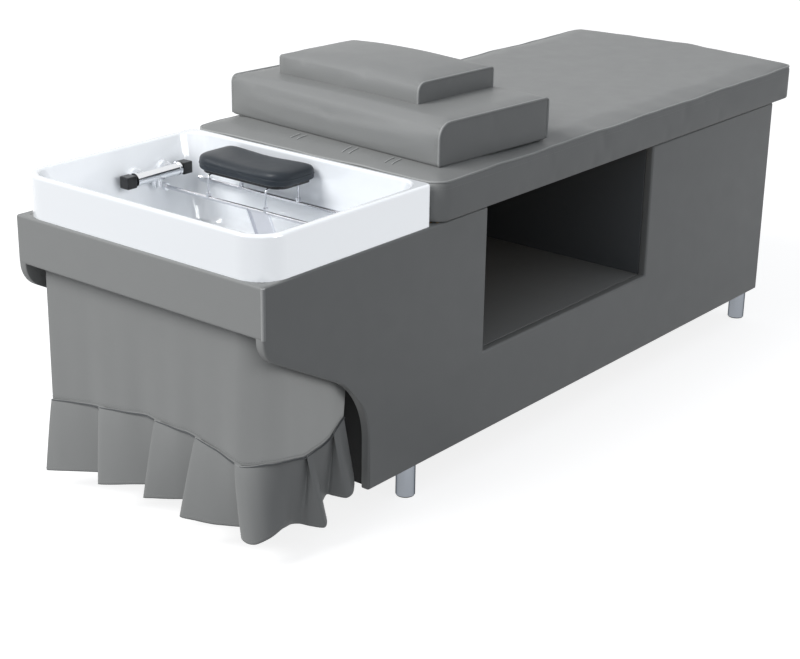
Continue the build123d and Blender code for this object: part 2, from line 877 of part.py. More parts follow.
with BuildPart() as rest_cushion:
    with BuildSketch(Plane.XY.offset(plate_top)):
        rest_outline(0)
    extrude(amount=rest_thickness)
    fillet(rest_cushion.edges().group_by(Axis.Z)[0], rest_edge_radius)
    with BuildSketch(Plane.YZ.offset(rest_x - rest_depth)):
        with BuildLine():
            top = plate_top + rest_thickness
            ends = [(rest_y - rest_length, top), (rest_y + rest_length, top)]
            ThreePointArc(ends[0], (rest_y, top - rest_dip), ends[1])
            Polyline(ends[1], (ends[1][0], top + overrun), (ends[0][0], top + overrun), ends[0])
        make_face()
    extrude(amount=2 * rest_depth, mode=Mode.SUBTRACT)
    fillet(rest_cushion.edges().group_by(Axis.Z)[-1], rest_edge_radius)
write(rest_cushion, "rest_cushion")

# Mattress on its board

mattress_x = head_x + mattress_setback
mattress_end_x = foot_x + foot_overhang
mattress_half_width = half_width + mattress_overhang
with BuildPart() as mattress_board:
    block(
        (mattress_x + mattress_board_inset, -mattress_half_width + mattress_board_inset, panel_top),
        (
            mattress_end_x - mattress_board_inset,
            mattress_half_width - mattress_board_inset,
            panel_top + mattress_board_thickness,
        ),
    )

mattress_length = mattress_end_x - mattress_x
mattress_middle_x = (mattress_x + mattress_end_x) / 2


def padded_section(half):
    """Foam section: sides drawn in between the seams, top rising over a shoulder to a flat."""
    middle = panel_top + mattress_thickness / 2
    crest = mattress_top + mattress_crown
    flat = half - mattress_shoulder
    with BuildLine() as outline:
        Line((-half, panel_top), (half, panel_top))
        Line((-flat, crest), (flat, crest))
        for side in (-1, 1):
            seam = (side * half, mattress_top)
            ThreePointArc((side * half, panel_top), (side * (half - mattress_drawn_in), middle), seam)
            TangentArc((side * flat, crest), seam, tangent=(side, 0))
    make_face(outline.line)


with BuildPart() as mattress:
    with BuildSketch(Plane.XY.offset(panel_top)):
        with Locations((mattress_middle_x, 0)):
            RectangleRounded(mattress_length, 2 * mattress_half_width, mattress_corner_radius)
    extrude(amount=mattress_thickness + mattress_crown + overrun)
    with BuildSketch(Plane.YZ.offset(mattress_x - overrun)):
        padded_section(mattress_half_width)
    extrude(amount=mattress_length + 2 * overrun, mode=Mode.INTERSECT)
    far_plane = Plane((mattress_middle_x, half_width + 2 * overrun, 0), x_dir=(1, 0, 0), z_dir=(0, -1, 0))
    with BuildSketch(far_plane):
        padded_section(mattress_length / 2)
    extrude(amount=2 * (half_width + 2 * overrun), mode=Mode.INTERSECT)
    add(mattress_board.part, mode=Mode.SUBTRACT)

write(mattress_board, "mattress_board")
write(mattress, "mattress")

# Bolster and pillow: foam blocks with a rounded front, a crown and flat stitched ends


def loose_cushion(place, turn, size, crown, sag, front_radius, corner_radius, drawn_in):
    """A foam block whose section runs along its length, drawn in between its ends."""
    depth, length, height = size
    angle = math.radians(turn)
    across = (math.cos(angle), math.sin(angle), 0)
    along = (-math.sin(angle), math.cos(angle), 0)
    section = Plane(place, x_dir=across, z_dir=tuple(-c for c in along))
    half = depth / 2
    with BuildSketch(section.offset(-length / 2)) as profile:
        with BuildLine():
            if sag:
                ThreePointArc((-half, -sag), (0, 0), (half, -sag))
            else:
                Line((-half, 0), (half, 0))
            Line((half, -sag), (half, height))
            ThreePointArc((half, height), (0, height + crown), (-half, height))
            Line((-half, height), (-half, -sag))
        make_face()
        front_top = profile.vertices().sort_by_distance((-half, height, 0))[0]
        fillet(front_top, front_radius)
    extrude(profile.sketch, amount=length)
    with BuildSketch(Plane(place, x_dir=across, z_dir=(0, 0, 1)).offset(-sag)) as footprint:
        with BuildLine():
            for side in (1, -1):
                ends = [(half * side, -length / 2 * side), (half * side, length / 2 * side)]
                ThreePointArc(ends[0], (side * (half - drawn_in), 0), ends[1])
                Line(ends[1], (-half * side, length / 2 * side))
        make_face()
        fillet(footprint.vertices(), corner_radius)
    extrude(footprint.sketch, amount=sag + height + crown, mode=Mode.INTERSECT)


with BuildPart() as bolster:
    loose_cushion(
        (head_x + bolster_setback, bolster_offset, bolster_base),
        bolster_turn,
        (bolster_depth, bolster_length, bolster_height),
        bolster_crown,
        0,
        bolster_front_radius,
        bolster_corner_radius,
        bolster_drawn_in,
    )

pillow_shift = abs(pillow_setback - bolster_setback)
pillow_sag = bolster_crown * ((pillow_depth / 2 - pillow_shift) / (bolster_depth / 2)) ** 2
with BuildPart() as pillow:
    loose_cushion(
        (head_x + pillow_setback, pillow_offset, pillow_base),
        pillow_turn,
        (pillow_depth, pillow_length, pillow_height),
        pillow_crown,
        pillow_sag,
        pillow_front_radius,
        pillow_corner_radius,
        pillow_drawn_in,
    )

write(bolster, "bolster")
write(pillow, "pillow")

# Curtain and its ruffle, hung inside the apron and round the near corner

path_inset = panel_thickness + fastener_thickness + curtain_top_swing + hang_gap
path_x = head_x + path_inset
path_y = -half_width + path_inset
front_run = inner_half_width - curtain_far_margin + panel_thickness - path_y - curtain_corner_radius
corner_run = math.pi / 2 * curtain_corner_radius
side_run = curtain_side_end - path_inset - curtain_corner_radius
curtain_run = front_run + corner_run + side_run


def hung_point(distance, outward):
    """A point along the curtain's path, seen from above, set outwards from it."""
    if distance < front_run:
        return (path_x - outward, path_y + curtain_corner_radius + front_run - distance)
    if distance > front_run + corner_run:
        past = distance - front_run - corner_run
        return (path_x + curtain_corner_radius + past, path_y - outward)
    angle = (distance - front_run) / curtain_corner_radius
    reach = curtain_corner_radius + outward
    centre = (path_x + curtain_corner_radius, path_y + curtain_corner_radius)
    return (centre[0] - reach * math.cos(angle), centre[1] - reach * math.sin(angle))


def folded_outline(swing, spread):
    """Cloth edge seen from above: arcs that swing out and in by turns."""
    step = curtain_run / curtain_half_folds
    outer, inner = [], []
    for i in range(curtain_half_folds):
        sway = spread + (swing if i % 2 == 0 else -swing)
        for line, back in ((outer, 0), (inner, cloth_thickness)):
            line.append(
                (
                    hung_point(i * step, spread - back),
                    hung_point((i + 1 / 2) * step, sway - back),
                    hung_point((i + 1) * step, spread - back),
                )
            )
    with BuildLine() as outline:
        for points in outer + inner:
            ThreePointArc(*points)
        Line(outer[0][0], inner[0][0])
        Line(outer[-1][-1], inner[-1][-1])
    make_face(outline.line)


with BuildPart() as curtain:
    with BuildSketch(Plane.XY.offset(curtain_seam_height)):
        folded_outline(curtain_seam_swing, 0)
    with BuildSketch(Plane.XY.offset(curtain_top)):
        folded_outline(curtain_top_swing, 0)
    loft(ruled=True)

with BuildPart() as curtain_ruffle:
    with BuildSketch(Plane.XY.offset(curtain_hem_height)):
        folded_outline(curtain_hem_swing, curtain_hem_spread)
    with BuildSketch(Plane.XY.offset(curtain_seam_height)):
        folded_outline(curtain_seam_swing, 0)
    loft(ruled=True)

fastener_low = curtain_top - fastener_height
corner_room = curtain_corner_radius / 2
with BuildPart() as curtain_fastener:
    front_end_y = path_y + curtain_corner_radius + front_run
    block(
        (head_x + panel_thickness, path_y + corner_room, fastener_low),
        (head_x + panel_thickness + fastener_thickness, front_end_y, curtain_top),
    )
    block(
        (path_x + corner_room, -inner_half_width, fastener_low),
        (head_x + curtain_side_end, -inner_half_width + fastener_thickness, curtain_top),
    )

write(curtain, "curtain")
write(curtain_ruffle, "curtain_ruffle")
write(curtain_fastener, "curtain_fastener")
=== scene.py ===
"""Hair washing bed, dressed for the camera: padded covers, a ruffled curtain, finishes, light and stage.

Metres, in the frame of the CAD model: +X from the basin end to the foot, +Y away from the open cubby, +Z up.
"""

import math

import bmesh
import bpy
import numpy as np
from mathutils import Matrix, Vector
from mathutils.bvhtree import BVHTree


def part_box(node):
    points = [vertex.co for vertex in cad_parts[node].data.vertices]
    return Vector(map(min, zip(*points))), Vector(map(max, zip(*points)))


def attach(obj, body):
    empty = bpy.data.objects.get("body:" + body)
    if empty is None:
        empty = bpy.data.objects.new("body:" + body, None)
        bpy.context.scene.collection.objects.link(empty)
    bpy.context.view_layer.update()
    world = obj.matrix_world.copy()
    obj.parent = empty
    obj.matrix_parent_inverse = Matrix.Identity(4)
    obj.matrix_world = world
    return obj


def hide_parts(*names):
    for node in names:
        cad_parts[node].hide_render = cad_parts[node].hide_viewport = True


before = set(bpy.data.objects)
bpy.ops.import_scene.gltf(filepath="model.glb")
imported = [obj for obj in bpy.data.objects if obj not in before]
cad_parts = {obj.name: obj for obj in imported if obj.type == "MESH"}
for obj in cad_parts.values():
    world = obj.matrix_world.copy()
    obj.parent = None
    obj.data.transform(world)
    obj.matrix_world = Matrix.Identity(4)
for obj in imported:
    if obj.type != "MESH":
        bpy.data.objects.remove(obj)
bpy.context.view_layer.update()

bl_info = {
    "name": "Hair Washing Bed",
    "version": (1, 0, 0),
    "blender": (4, 5, 0),
    "location": "3D Viewport > Sidebar > Wash Bed",
    "description": "Builds the soft covers, the curtain, the finishes and the stage of a hair washing bed",
    "category": "Object",
}


# Colours, nodes and finishes

def linear(code):
    """An sRGB hex colour as the linear colour that nodes take."""
    parts = [int(code[i:i + 2], 16) / 255 for i in (1, 3, 5)]
    return tuple(c / 12.92 if c <= 0.04045 else ((c + 0.055) / 1.055) ** 2.4 for c in parts) + (1.0,)


def shade(colour, factor):
    """The same colour, lighter or darker."""
    return tuple(min(1.0, c * factor) for c in colour[:3]) + (1.0,)


def add(tree, kind, inputs=None, **settings):
    """Adds one node with its settings, and its inputs as values or as links from other nodes."""
    node = tree.nodes.new(kind)
    for key, value in settings.items():
        setattr(node, key, value)
    for key, value in (inputs or {}).items():
        if isinstance(value, bpy.types.NodeSocket):
            tree.links.new(value, node.inputs[key])
        else:
            node.inputs[key].default_value = value
    return node


def sized(place, millimetres, **more):
    """Inputs of a pattern whose cells are this many millimetres across."""
    return {"Vector": place, "Scale": 1000 / millimetres, **more}


def blank(name):
    """A material without nodes, its tree, and the Object coordinates that its patterns read."""
    material = bpy.data.materials.new(name)
    material.use_nodes = True
    tree = material.node_tree
    tree.nodes.clear()
    return material, tree, add(tree, "ShaderNodeTexCoord").outputs["Object"]


def show(material, shader):
    """Sends a shader to the material's output, which finishes the material."""
    add(material.node_tree, "ShaderNodeOutputMaterial", {"Surface": shader.outputs[0]})
    return material


def tinted(tree, place, size, colour, factor):
    """A colour that drifts between two close tones in patches of this size in millimetres."""
    noise = add(tree, "ShaderNodeTexNoise", sized(place, size, Detail=3.0, Roughness=0.6))
    return add(tree, "ShaderNodeMix", {
        "Factor": noise.outputs["Fac"], 6: colour, 7: shade(colour, factor),
    }, data_type="RGBA").outputs[2]


def drifting(tree, place, size, low, high):
    """A number that drifts between two values in patches of this size in millimetres."""
    noise = add(tree, "ShaderNodeTexNoise", sized(place, size, Detail=4.0))
    return add(tree, "ShaderNodeMapRange", {
        "Value": noise.outputs["Fac"], "From Min": 0.3, "From Max": 0.7, "To Min": low, "To Max": high,
    }).outputs[0]


def pu_leather(name, colour, grain, rough):
    """Polyurethane leather: a woven back under a calendered skin.

    The skin is matt with a soft broad highlight, cells of grain a millimetre or two across and pores
    between them. Grain is drawn at about twice its size, so that it shows at the photograph's distance.
    """
    material, tree, place = blank(name)
    cells = add(tree, "ShaderNodeTexVoronoi", sized(place, grain, Smoothness=0.4), feature="SMOOTH_F1")
    pores = add(tree, "ShaderNodeTexNoise", sized(place, grain / 3, Detail=2.0))
    rumple = add(tree, "ShaderNodeTexNoise", sized(place, 70, Detail=2.0))
    skin = add(tree, "ShaderNodeMath", {
        0: pores.outputs["Fac"], 1: 0.35, 2: cells.outputs["Distance"],
    }, operation="MULTIPLY_ADD")
    fine = add(tree, "ShaderNodeBump", {"Strength": 0.22, "Distance": 0.0006, "Height": skin.outputs[0]})
    broad = add(tree, "ShaderNodeBump", {
        "Strength": 0.14, "Distance": 0.004, "Height": rumple.outputs["Fac"], "Normal": fine.outputs[0],
    })
    return show(material, add(tree, "ShaderNodeBsdfPrincipled", {
        "Base Color": tinted(tree, place, 120, colour, 0.965),
        "Roughness": drifting(tree, place, 40, rough - 0.03, rough + 0.03),
        "Specular IOR Level": 0.35,
        "Normal": broad.outputs[0],
    }))


def plated_steel(name, colour, low, high, scratch, edge=1.0):
    """Chromium plate or bright-drawn steel: a mirror with faint polishing lines and finger smears.

    edge is how bright the plate stays where it turns away from the eye. The legs go dark there: a painted dark
    reflection.
    """
    material, tree, place = blank(name)
    lines = add(tree, "ShaderNodeTexNoise", sized(place, scratch, Detail=5.0))
    bump = add(tree, "ShaderNodeBump", {"Strength": 0.05, "Distance": 0.0003, "Height": lines.outputs["Fac"]})
    return show(material, add(tree, "ShaderNodeBsdfPrincipled", {
        "Base Color": tinted(tree, place, 30, colour, 0.96),
        "Metallic": 1.0,
        "Specular Tint": (edge, edge, edge, 1.0),
        "Roughness": drifting(tree, place, 18, low, high),
        "Normal": bump.outputs[0],
    }))


def moulded_plastic(name, colour, rough, grain):
    """Injection-moulded or vacuum-formed plastic: an even colour under a skin as smooth as its mould."""
    material, tree, place = blank(name)
    skin = add(tree, "ShaderNodeTexNoise", sized(place, grain, Detail=3.0))
    bump = add(tree, "ShaderNodeBump", {"Strength": 0.06, "Distance": 0.0005, "Height": skin.outputs["Fac"]})
    return show(material, add(tree, "ShaderNodeBsdfPrincipled", {
        "Base Color": tinted(tree, place, 150, colour, 0.98),
        "Roughness": drifting(tree, place, 25, rough * 0.8, rough * 1.25),
        "IOR": 1.5,
        "Normal": bump.outputs[0],
    }))


def cast_acrylic(name, colour):
    """Vacuum-formed acrylic sheet, white right through: glossy and dead smooth, with a slow waviness from forming."""
    material, tree, place = blank(name)
    pull = add(tree, "ShaderNodeTexNoise", sized(place, 90, Detail=1.0))
    bump = add(tree, "ShaderNodeBump", {"Strength": 0.08, "Distance": 0.002, "Height": pull.outputs["Fac"]})
    return show(material, add(tree, "ShaderNodeBsdfPrincipled", {
        "Base Color": tinted(tree, place, 200, colour, 0.985),
        "Roughness": drifting(tree, place, 60, 0.18, 0.26),
        "IOR": 1.49,
        "Coat Weight": 1.0,
        "Coat IOR": 1.7,
        "Coat Roughness": 0.06,
        "Normal": bump.outputs[0],
    }))


def raw_board(name, colour):
    """Planed softwood and plywood under the covers: straight grain along the bed, pale and matt."""
    material, tree, place = blank(name)
    along = add(tree, "ShaderNodeMapping", {"Vector": place, "Scale": (0.06, 1.0, 1.0)})
    rings = add(tree, "ShaderNodeTexNoise", sized(along.outputs[0], 9, Detail=6.0, Distortion=0.6))
    bump = add(tree, "ShaderNodeBump", {"Strength": 0.2, "Distance": 0.0005, "Height": rings.outputs["Fac"]})
    colours = add(tree, "ShaderNodeMix", {
        "Factor": rings.outputs["Fac"], 6: shade(colour, 0.75), 7: shade(colour, 1.15),
    }, data_type="RGBA")
    return show(material, add(tree, "ShaderNodeBsdfPrincipled", {
        "Base Color": colours.outputs[2], "Roughness": 0.7, "Normal": bump.outputs[0],
    }))


def looped_nylon(name, colour):
    """Hook-and-loop tape: a matt pile of loops about half a millimetre across."""
    material, tree, place = blank(name)
    loops = add(tree, "ShaderNodeTexVoronoi", sized(place, 1.2))
    bump = add(tree, "ShaderNodeBump", {"Strength": 0.7, "Distance": 0.0008, "Height": loops.outputs["Distance"]})
    return show(material, add(tree, "ShaderNodeBsdfPrincipled", {
        "Base Color": tinted(tree, place, 2, colour, 0.6),
        "Roughness": 0.85,
        "Sheen Weight": 0.1,
        "Normal": bump.outputs[0],
    }))


def spun_polyester(name, colour):
    """Sewing thread: three plies twisted together, with a dull silky glint."""
    material, tree, place = blank(name)
    plies = add(tree, "ShaderNodeTexWave", sized(place, 4, Distortion=1.0), bands_direction="DIAGONAL")
    bump = add(tree, "ShaderNodeBump", {"Strength": 0.4, "Distance": 0.0003, "Height": plies.outputs["Fac"]})
    return show(material, add(tree, "ShaderNodeBsdfPrincipled", {
        "Base Color": tinted(tree, place, 6, colour, 0.85),
        "Roughness": 0.55,
        "Sheen Weight": 0.2,
        "Normal": bump.outputs[0],
    }))


# Each finish: its maker, its colour, which is a hex code or one of the bed's own colours with or without a
# factor that lightens it, and the maker's other values
FINISHES = {
    "grey_pu_leather": (pu_leather, "leather", 2.4, 0.5),
    # Painted highlight: the piping is drawn lighter than the leather, for the light caught along the rounded seams.
    "grey_pu_piping": (pu_leather, ("leather", 1.4), 2.4, 0.42),
    # Painted shade: the cubby's inside is drawn darker than the rest of the leather, for the shade in its recess.
    "cubby_lining_leather": (pu_leather, "lining", 2.4, 0.55),
    "curtain_pu_leather": (pu_leather, "leather", 1.8, 0.5),
    "black_soft_pu": (pu_leather, "neck_rest", 1.6, 0.4),
    "chromium_plate": (plated_steel, "#eceef1", 0.09, 0.18, 1.5),
    # Painted dark reflection: the legs' chromium is drawn darker and turns black at its edges, for the dark
    # surroundings it would mirror.
    "satin_chromium": (plated_steel, "#9ba0a7", 0.10, 0.20, 1.5, 0.0),
    "bright_drawn_steel": (plated_steel, "#dcdde2", 0.15, 0.26, 0.8),
    "turned_brass": (plated_steel, "#c9a764", 0.22, 0.34, 0.8),
    "white_cast_acrylic": (cast_acrylic, "basin"),
    "black_abs": (moulded_plastic, "#17181a", 0.3, 1.2),
    "white_polypropylene": (moulded_plastic, "#dfe1e0", 0.38, 2.0),
    "black_nitrile_rubber": (moulded_plastic, "#101112", 0.7, 1.0),
    # Real backing cloth under the apron, also used as painted shade on boards that sit in shadow.
    "black_nonwoven_backing": (looped_nylon, "#161718"),
    "planed_board": (raw_board, "#c8a678"),
    "black_looped_nylon": (looped_nylon, "#202122"),
    "grey_polyester_thread": (spun_polyester, ("leather", 1.15)),
    # Painted highlight: the tufts' thread is drawn much lighter than the leather, to stay light against the shade
    # round its beads.
    "pale_polyester_thread": (spun_polyester, ("leather", 1.9)),
    "charcoal_polyester_thread": (spun_polyester, "#45484a"),
}


def finish(name):
    """A finish by name, made the first time it is asked for."""
    material = bpy.data.materials.get(name)
    if material is None:
        make, colour, *values = FINISHES[name]
        code, factor = colour if isinstance(colour, tuple) else (colour, 1.0)
        own = bpy.context.scene.wash_bed_colours
        tone = linear(code) if code.startswith("#") else getattr(own, code)
        material = make(name, shade(tone, factor), *values)
    return material


def dress_nodes(name, *nodes):
    """Gives CAD parts a finish. Their shapes stay as they are."""
    for node in nodes:
        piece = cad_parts[node]
        for slot in piece.material_slots:
            slot.link = "OBJECT"
            slot.material = finish(name)


# Meshes

def linked(name, data):
    """An object in the scene for a mesh, a curve, a lamp or a camera."""
    thing = bpy.data.objects.new(name, data)
    bpy.context.scene.collection.objects.link(thing)
    return thing


def new_piece(name, points, faces, material):
    """A smooth mesh object from plain lists of points and faces."""
    mesh = bpy.data.meshes.new(name)
    mesh.from_pydata([tuple(p) for p in points], [], [tuple(int(i) for i in f) for f in faces])
    mesh.materials.append(finish(material))
    mesh.shade_smooth()
    return linked(name, mesh)


def settle(piece):
    """Turns a piece with modifiers, or a curve, into a plain mesh."""
    graph = bpy.context.evaluated_depsgraph_get()
    mesh = bpy.data.meshes.new_from_object(piece.evaluated_get(graph))
    name, old = piece.name, piece.data
    if piece.type == "MESH":
        piece.modifiers.clear()
        piece.data = mesh
        bpy.data.meshes.remove(old)
        mesh.name = name
        return piece
    bpy.data.objects.remove(piece)
    mesh.name = name
    return linked(name, mesh)


def place_piece(piece, body, slot, *nodes):
    """Says which body carries a piece and which CAD parts it stands for, and hides those. The slot is not used."""
    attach(piece, body)
    if nodes:
        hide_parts(*nodes)


def points_of(mesh):
    """A mesh's points as an array."""
    flat = np.empty(len(mesh.vertices) * 3)
    mesh.vertices.foreach_get("co", flat)
    return flat.reshape(-1, 3)


def set_points(piece, points):
    """Moves every point of a piece."""
    piece.data.vertices.foreach_set("co", np.asarray(points, dtype=float).ravel())
    piece.data.update()


# Edge radii of the covers, in metres, and the turns between faces that tell flat, round and sharp apart
PANEL_EDGE, BOARD_EDGE = 0.0025, 0.0015
FLAT, ROUND, SHARP = (math.radians(angle) for angle in (2, 35, 50))
SAME = 1e-6
FACING = 0.9


def wrapped_board(node, radius, material, backed=None):
    """Stands for a CAD board with the softly rounded edges that a stretched cover gives it.

    backed is the direction its bare side faces, where black backing cloth is tacked over the board
    below the apron, partly as painted shade under the apron. Above it the cover turns inwards.
    """
    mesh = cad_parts[node].data.copy()
    mesh.name = node + "_cover"
    work = bmesh.new()
    work.from_mesh(mesh)
    bmesh.ops.remove_doubles(work, verts=work.verts, dist=SAME)
    bmesh.ops.dissolve_limit(work, angle_limit=FLAT, verts=work.verts, edges=work.edges)
    sharp = [e for e in work.edges if len(e.link_faces) == 2 and e.calc_face_angle() > SHARP]
    bmesh.ops.bevel(work, geom=sharp, offset=radius, segments=3, profile=0.5, affect="EDGES", clamp_overlap=True)
    work.normal_update()
    if backed:
        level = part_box("head_apron")[0][2]
        whole = work.verts[:] + work.edges[:] + work.faces[:]
        bmesh.ops.bisect_plane(work, geom=whole, plane_co=(0, 0, level), plane_no=(0, 0, 1))
        work.normal_update()
        for face in work.faces:
            bare = face.normal.dot(Vector(backed)) > FACING and face.calc_center_median().z < level
            face.material_index = int(bare)
    work.to_mesh(mesh)
    work.free()
    mesh.materials.clear()
    mesh.materials.append(finish(material))
    if backed:
        mesh.materials.append(finish("black_nonwoven_backing"))
    mesh.shade_smooth()
    mesh.set_sharp_from_angle(angle=ROUND)
    place_piece(linked(node + "_cover", mesh), "cabinet", "panel_leather", node)


def spaced(half, edge, step):
    """Places from -half to half: close together near both ends, even between them."""
    close = np.linspace(0, edge, 5)
    middle = np.linspace(edge - half, half - edge, max(3, round(2 * (half - edge) / step)) + 1)
    return np.concatenate([close[:-1] - half, middle, (half - close[:-1])[::-1]])


def box_grid(steps):
    """A closed box of quads with its lines at the given places along each axis."""
    points, faces, count = [], [], 0
    for axis in range(3):
        u, v = (axis + 1) % 3, (axis + 2) % 3
        for end in (0, -1):
            grid = np.zeros((len(steps[u]), len(steps[v]), 3))
            grid[..., axis] = steps[axis][end]
            grid[..., u] = steps[u][:, None]
            grid[..., v] = steps[v][None, :]
            index = count + np.arange(grid.shape[0] * grid.shape[1]).reshape(grid.shape[:2])
            quads = np.stack([index[:-1, :-1], index[1:, :-1], index[1:, 1:], index[:-1, 1:]], -1).reshape(-1, 4)
            faces.append(quads if end == -1 else quads[:, ::-1])
            points.append(grid.reshape(-1, 3))
            count += grid.shape[0] * grid.shape[1]
    corners, where = np.unique(np.concatenate(points).round(7), axis=0, return_inverse=True)
    return corners, where.ravel()[np.concatenate(faces)]


def rounded(points, half, corner, edge):
    """Rounds a box: corner holds the four radii round its third axis, edge the radius at each end of that axis."""
    x, y, z = points[:, 0], points[:, 1], points[:, 2]
    turn = np.where(x < 0, np.where(y < 0, corner[0], corner[1]), np.where(y < 0, corner[2], corner[3]))
    rim = np.where(z < 0, edge[0], edge[1])
    core = np.stack([np.clip(x, turn - half[0], half[0] - turn), np.clip(y, turn - half[1], half[1] - turn)], 1)
    out = points[:, :2] - core
    length = np.maximum(np.hypot(out[:, 0], out[:, 1]), 1e-12)
    reach = np.abs(out).max(1)
    inset = turn - reach
    side = np.clip(rim - inset, 0, None)
    lift = np.clip(np.abs(z) - (half[2] - rim), 0, None)
    both = (side > 0) & (lift > 0)
    scale = np.where(both, np.maximum(side, lift) / np.maximum(np.hypot(side, lift), 1e-12), 1.0)
    inset = np.where(both, rim - side * scale, inset)
    flat = core + out / length[:, None] * (turn - inset)[:, None]
    height = np.where(both, np.sign(z) * (half[2] - rim + lift * scale), z)
    return np.column_stack([flat, height])


def around(steps_a, steps_b):
    """The outline of a rectangle as points, once round, without closing it."""
    low = [(a, steps_b[0]) for a in steps_a[:-1]]
    right = [(steps_a[-1], b) for b in steps_b[:-1]]
    high = [(a, steps_b[-1]) for a in steps_a[:0:-1]]
    left = [(steps_a[0], b) for b in steps_b[:0:-1]]
    return np.array(low + right + high + left)


def on_rim(grid, half):
    """Which points of a box lie on the four faces round its third axis."""
    return (np.abs(np.abs(grid[:, :2]) - half[:2]) < SAME).any(1)


def at_level(outline, level):
    """An outline's points at one level of the box's third axis."""
    return np.column_stack([outline, np.full(len(outline), level)])


# Wave lengths of an uneven seam, in metres, and about what they add up to
WAVES, WAVES_SUM = (0.31, 0.17, 0.09), 0.4


def wander(along, seed, size):
    """A slow uneven drift of a hand-sewn line, in metres."""
    rng = np.random.default_rng(seed)
    drift = np.zeros(len(along))
    for wave in WAVES:
        drift += np.sin(2 * np.pi * (along / wave + rng.random())) * wave
    return drift / WAVES_SUM * size


# A cover as cloth: the foam's pressure, how hard it is to stretch and to bend, and how long it settles
PRESSURE, STRETCH, BEND, QUALITY, STEPS = 2.0, 15, 4.0, 5, 20


def puff(piece, pinned, cap, slack):
    """Lets the cover swell and rumple between its pinned seams, as foam fills it, and keeps that shape.

    cap is the furthest that any point moves, and slack the share by which the cover is too large.
    """
    scene = bpy.context.scene
    before = points_of(piece.data)
    group = piece.vertex_groups.new(name="seams")
    group.add([int(i) for i in np.flatnonzero(pinned)], 1.0, "REPLACE")
    cloth = piece.modifiers.new("cover", "CLOTH")
    cloth.settings.vertex_group_mass = "seams"
    cloth.settings.use_pressure = True
    cloth.settings.uniform_pressure_force = PRESSURE
    cloth.settings.effector_weights.gravity = 0
    cloth.settings.shrink_min = -slack
    cloth.settings.quality = QUALITY
    cloth.settings.tension_stiffness = STRETCH
    cloth.settings.compression_stiffness = STRETCH
    cloth.settings.bending_stiffness = BEND
    cloth.point_cache.frame_end = STEPS
    for number in range(1, STEPS + 1):
        scene.frame_set(number)
    settled = piece.evaluated_get(bpy.context.evaluated_depsgraph_get())
    moved = points_of(settled.to_mesh()) - before
    settled.to_mesh_clear()
    length = np.maximum(np.linalg.norm(moved, axis=1), 1e-9)
    moved *= np.minimum(1.0, cap / length)[:, None]
    piece.modifiers.clear()
    piece.vertex_groups.clear()
    scene.frame_set(1)
    set_points(piece, before + moved)


def smoothed(piece):
    """Adds one level of subdivision to a piece, still live."""
    smooth = piece.modifiers.new("smooth", "SUBSURF")
    smooth.levels = smooth.render_levels = 1
    return piece


def foam_cover(name, points, faces, material, pinned, cap, slack):
    """A cover over foam: puffed between its pinned seams, then smoothed."""
    piece = new_piece(name, points, faces, material)
    puff(piece, pinned, cap, slack)
    return settle(smoothed(piece))


def tube(name, points, radius, material, body, slot, closed=False):
    """A round piping or tape along a line."""
    curve = bpy.data.curves.new(name, "CURVE")
    curve.dimensions = "3D"
    curve.bevel_depth = radius
    curve.bevel_resolution = 4
    curve.use_fill_caps = not closed
    spline = curve.splines.new("POLY")
    spline.points.add(len(points) - 1)
    spline.points.foreach_set("co", np.column_stack([points, np.ones(len(points))]).ravel())
    spline.use_cyclic_u = closed
    curve.materials.append(finish(material))
    piece = settle(linked(name, curve))
    piece.data.shade_smooth()
    place_piece(piece, body, slot)


def onto(piece, points):
    """Moves points to the nearest place on a piece's surface."""
    tree = BVHTree.FromObject(piece, bpy.context.evaluated_depsgraph_get())
    return np.array([tree.find_nearest(Vector(point))[0] for point in points])


# How far above a piece a point starts its way down, and how far down it may go
ABOVE, REACH = 0.08, 0.2


def lay_on(piece, points, lift):
    """Drops points straight down onto a piece's surface, and lifts them off it a little."""
    tree = BVHTree.FromObject(piece, bpy.context.evaluated_depsgraph_get())
    way = Vector((0, 0, -1))
    laid = []
    for point in points:
        hit, normal = tree.ray_cast(Vector(point) - way * ABOVE, way, REACH)[:2]
        laid.append(tuple(hit + normal * lift) if hit else tuple(point))
    return np.array(laid)


# Stitches follow any line

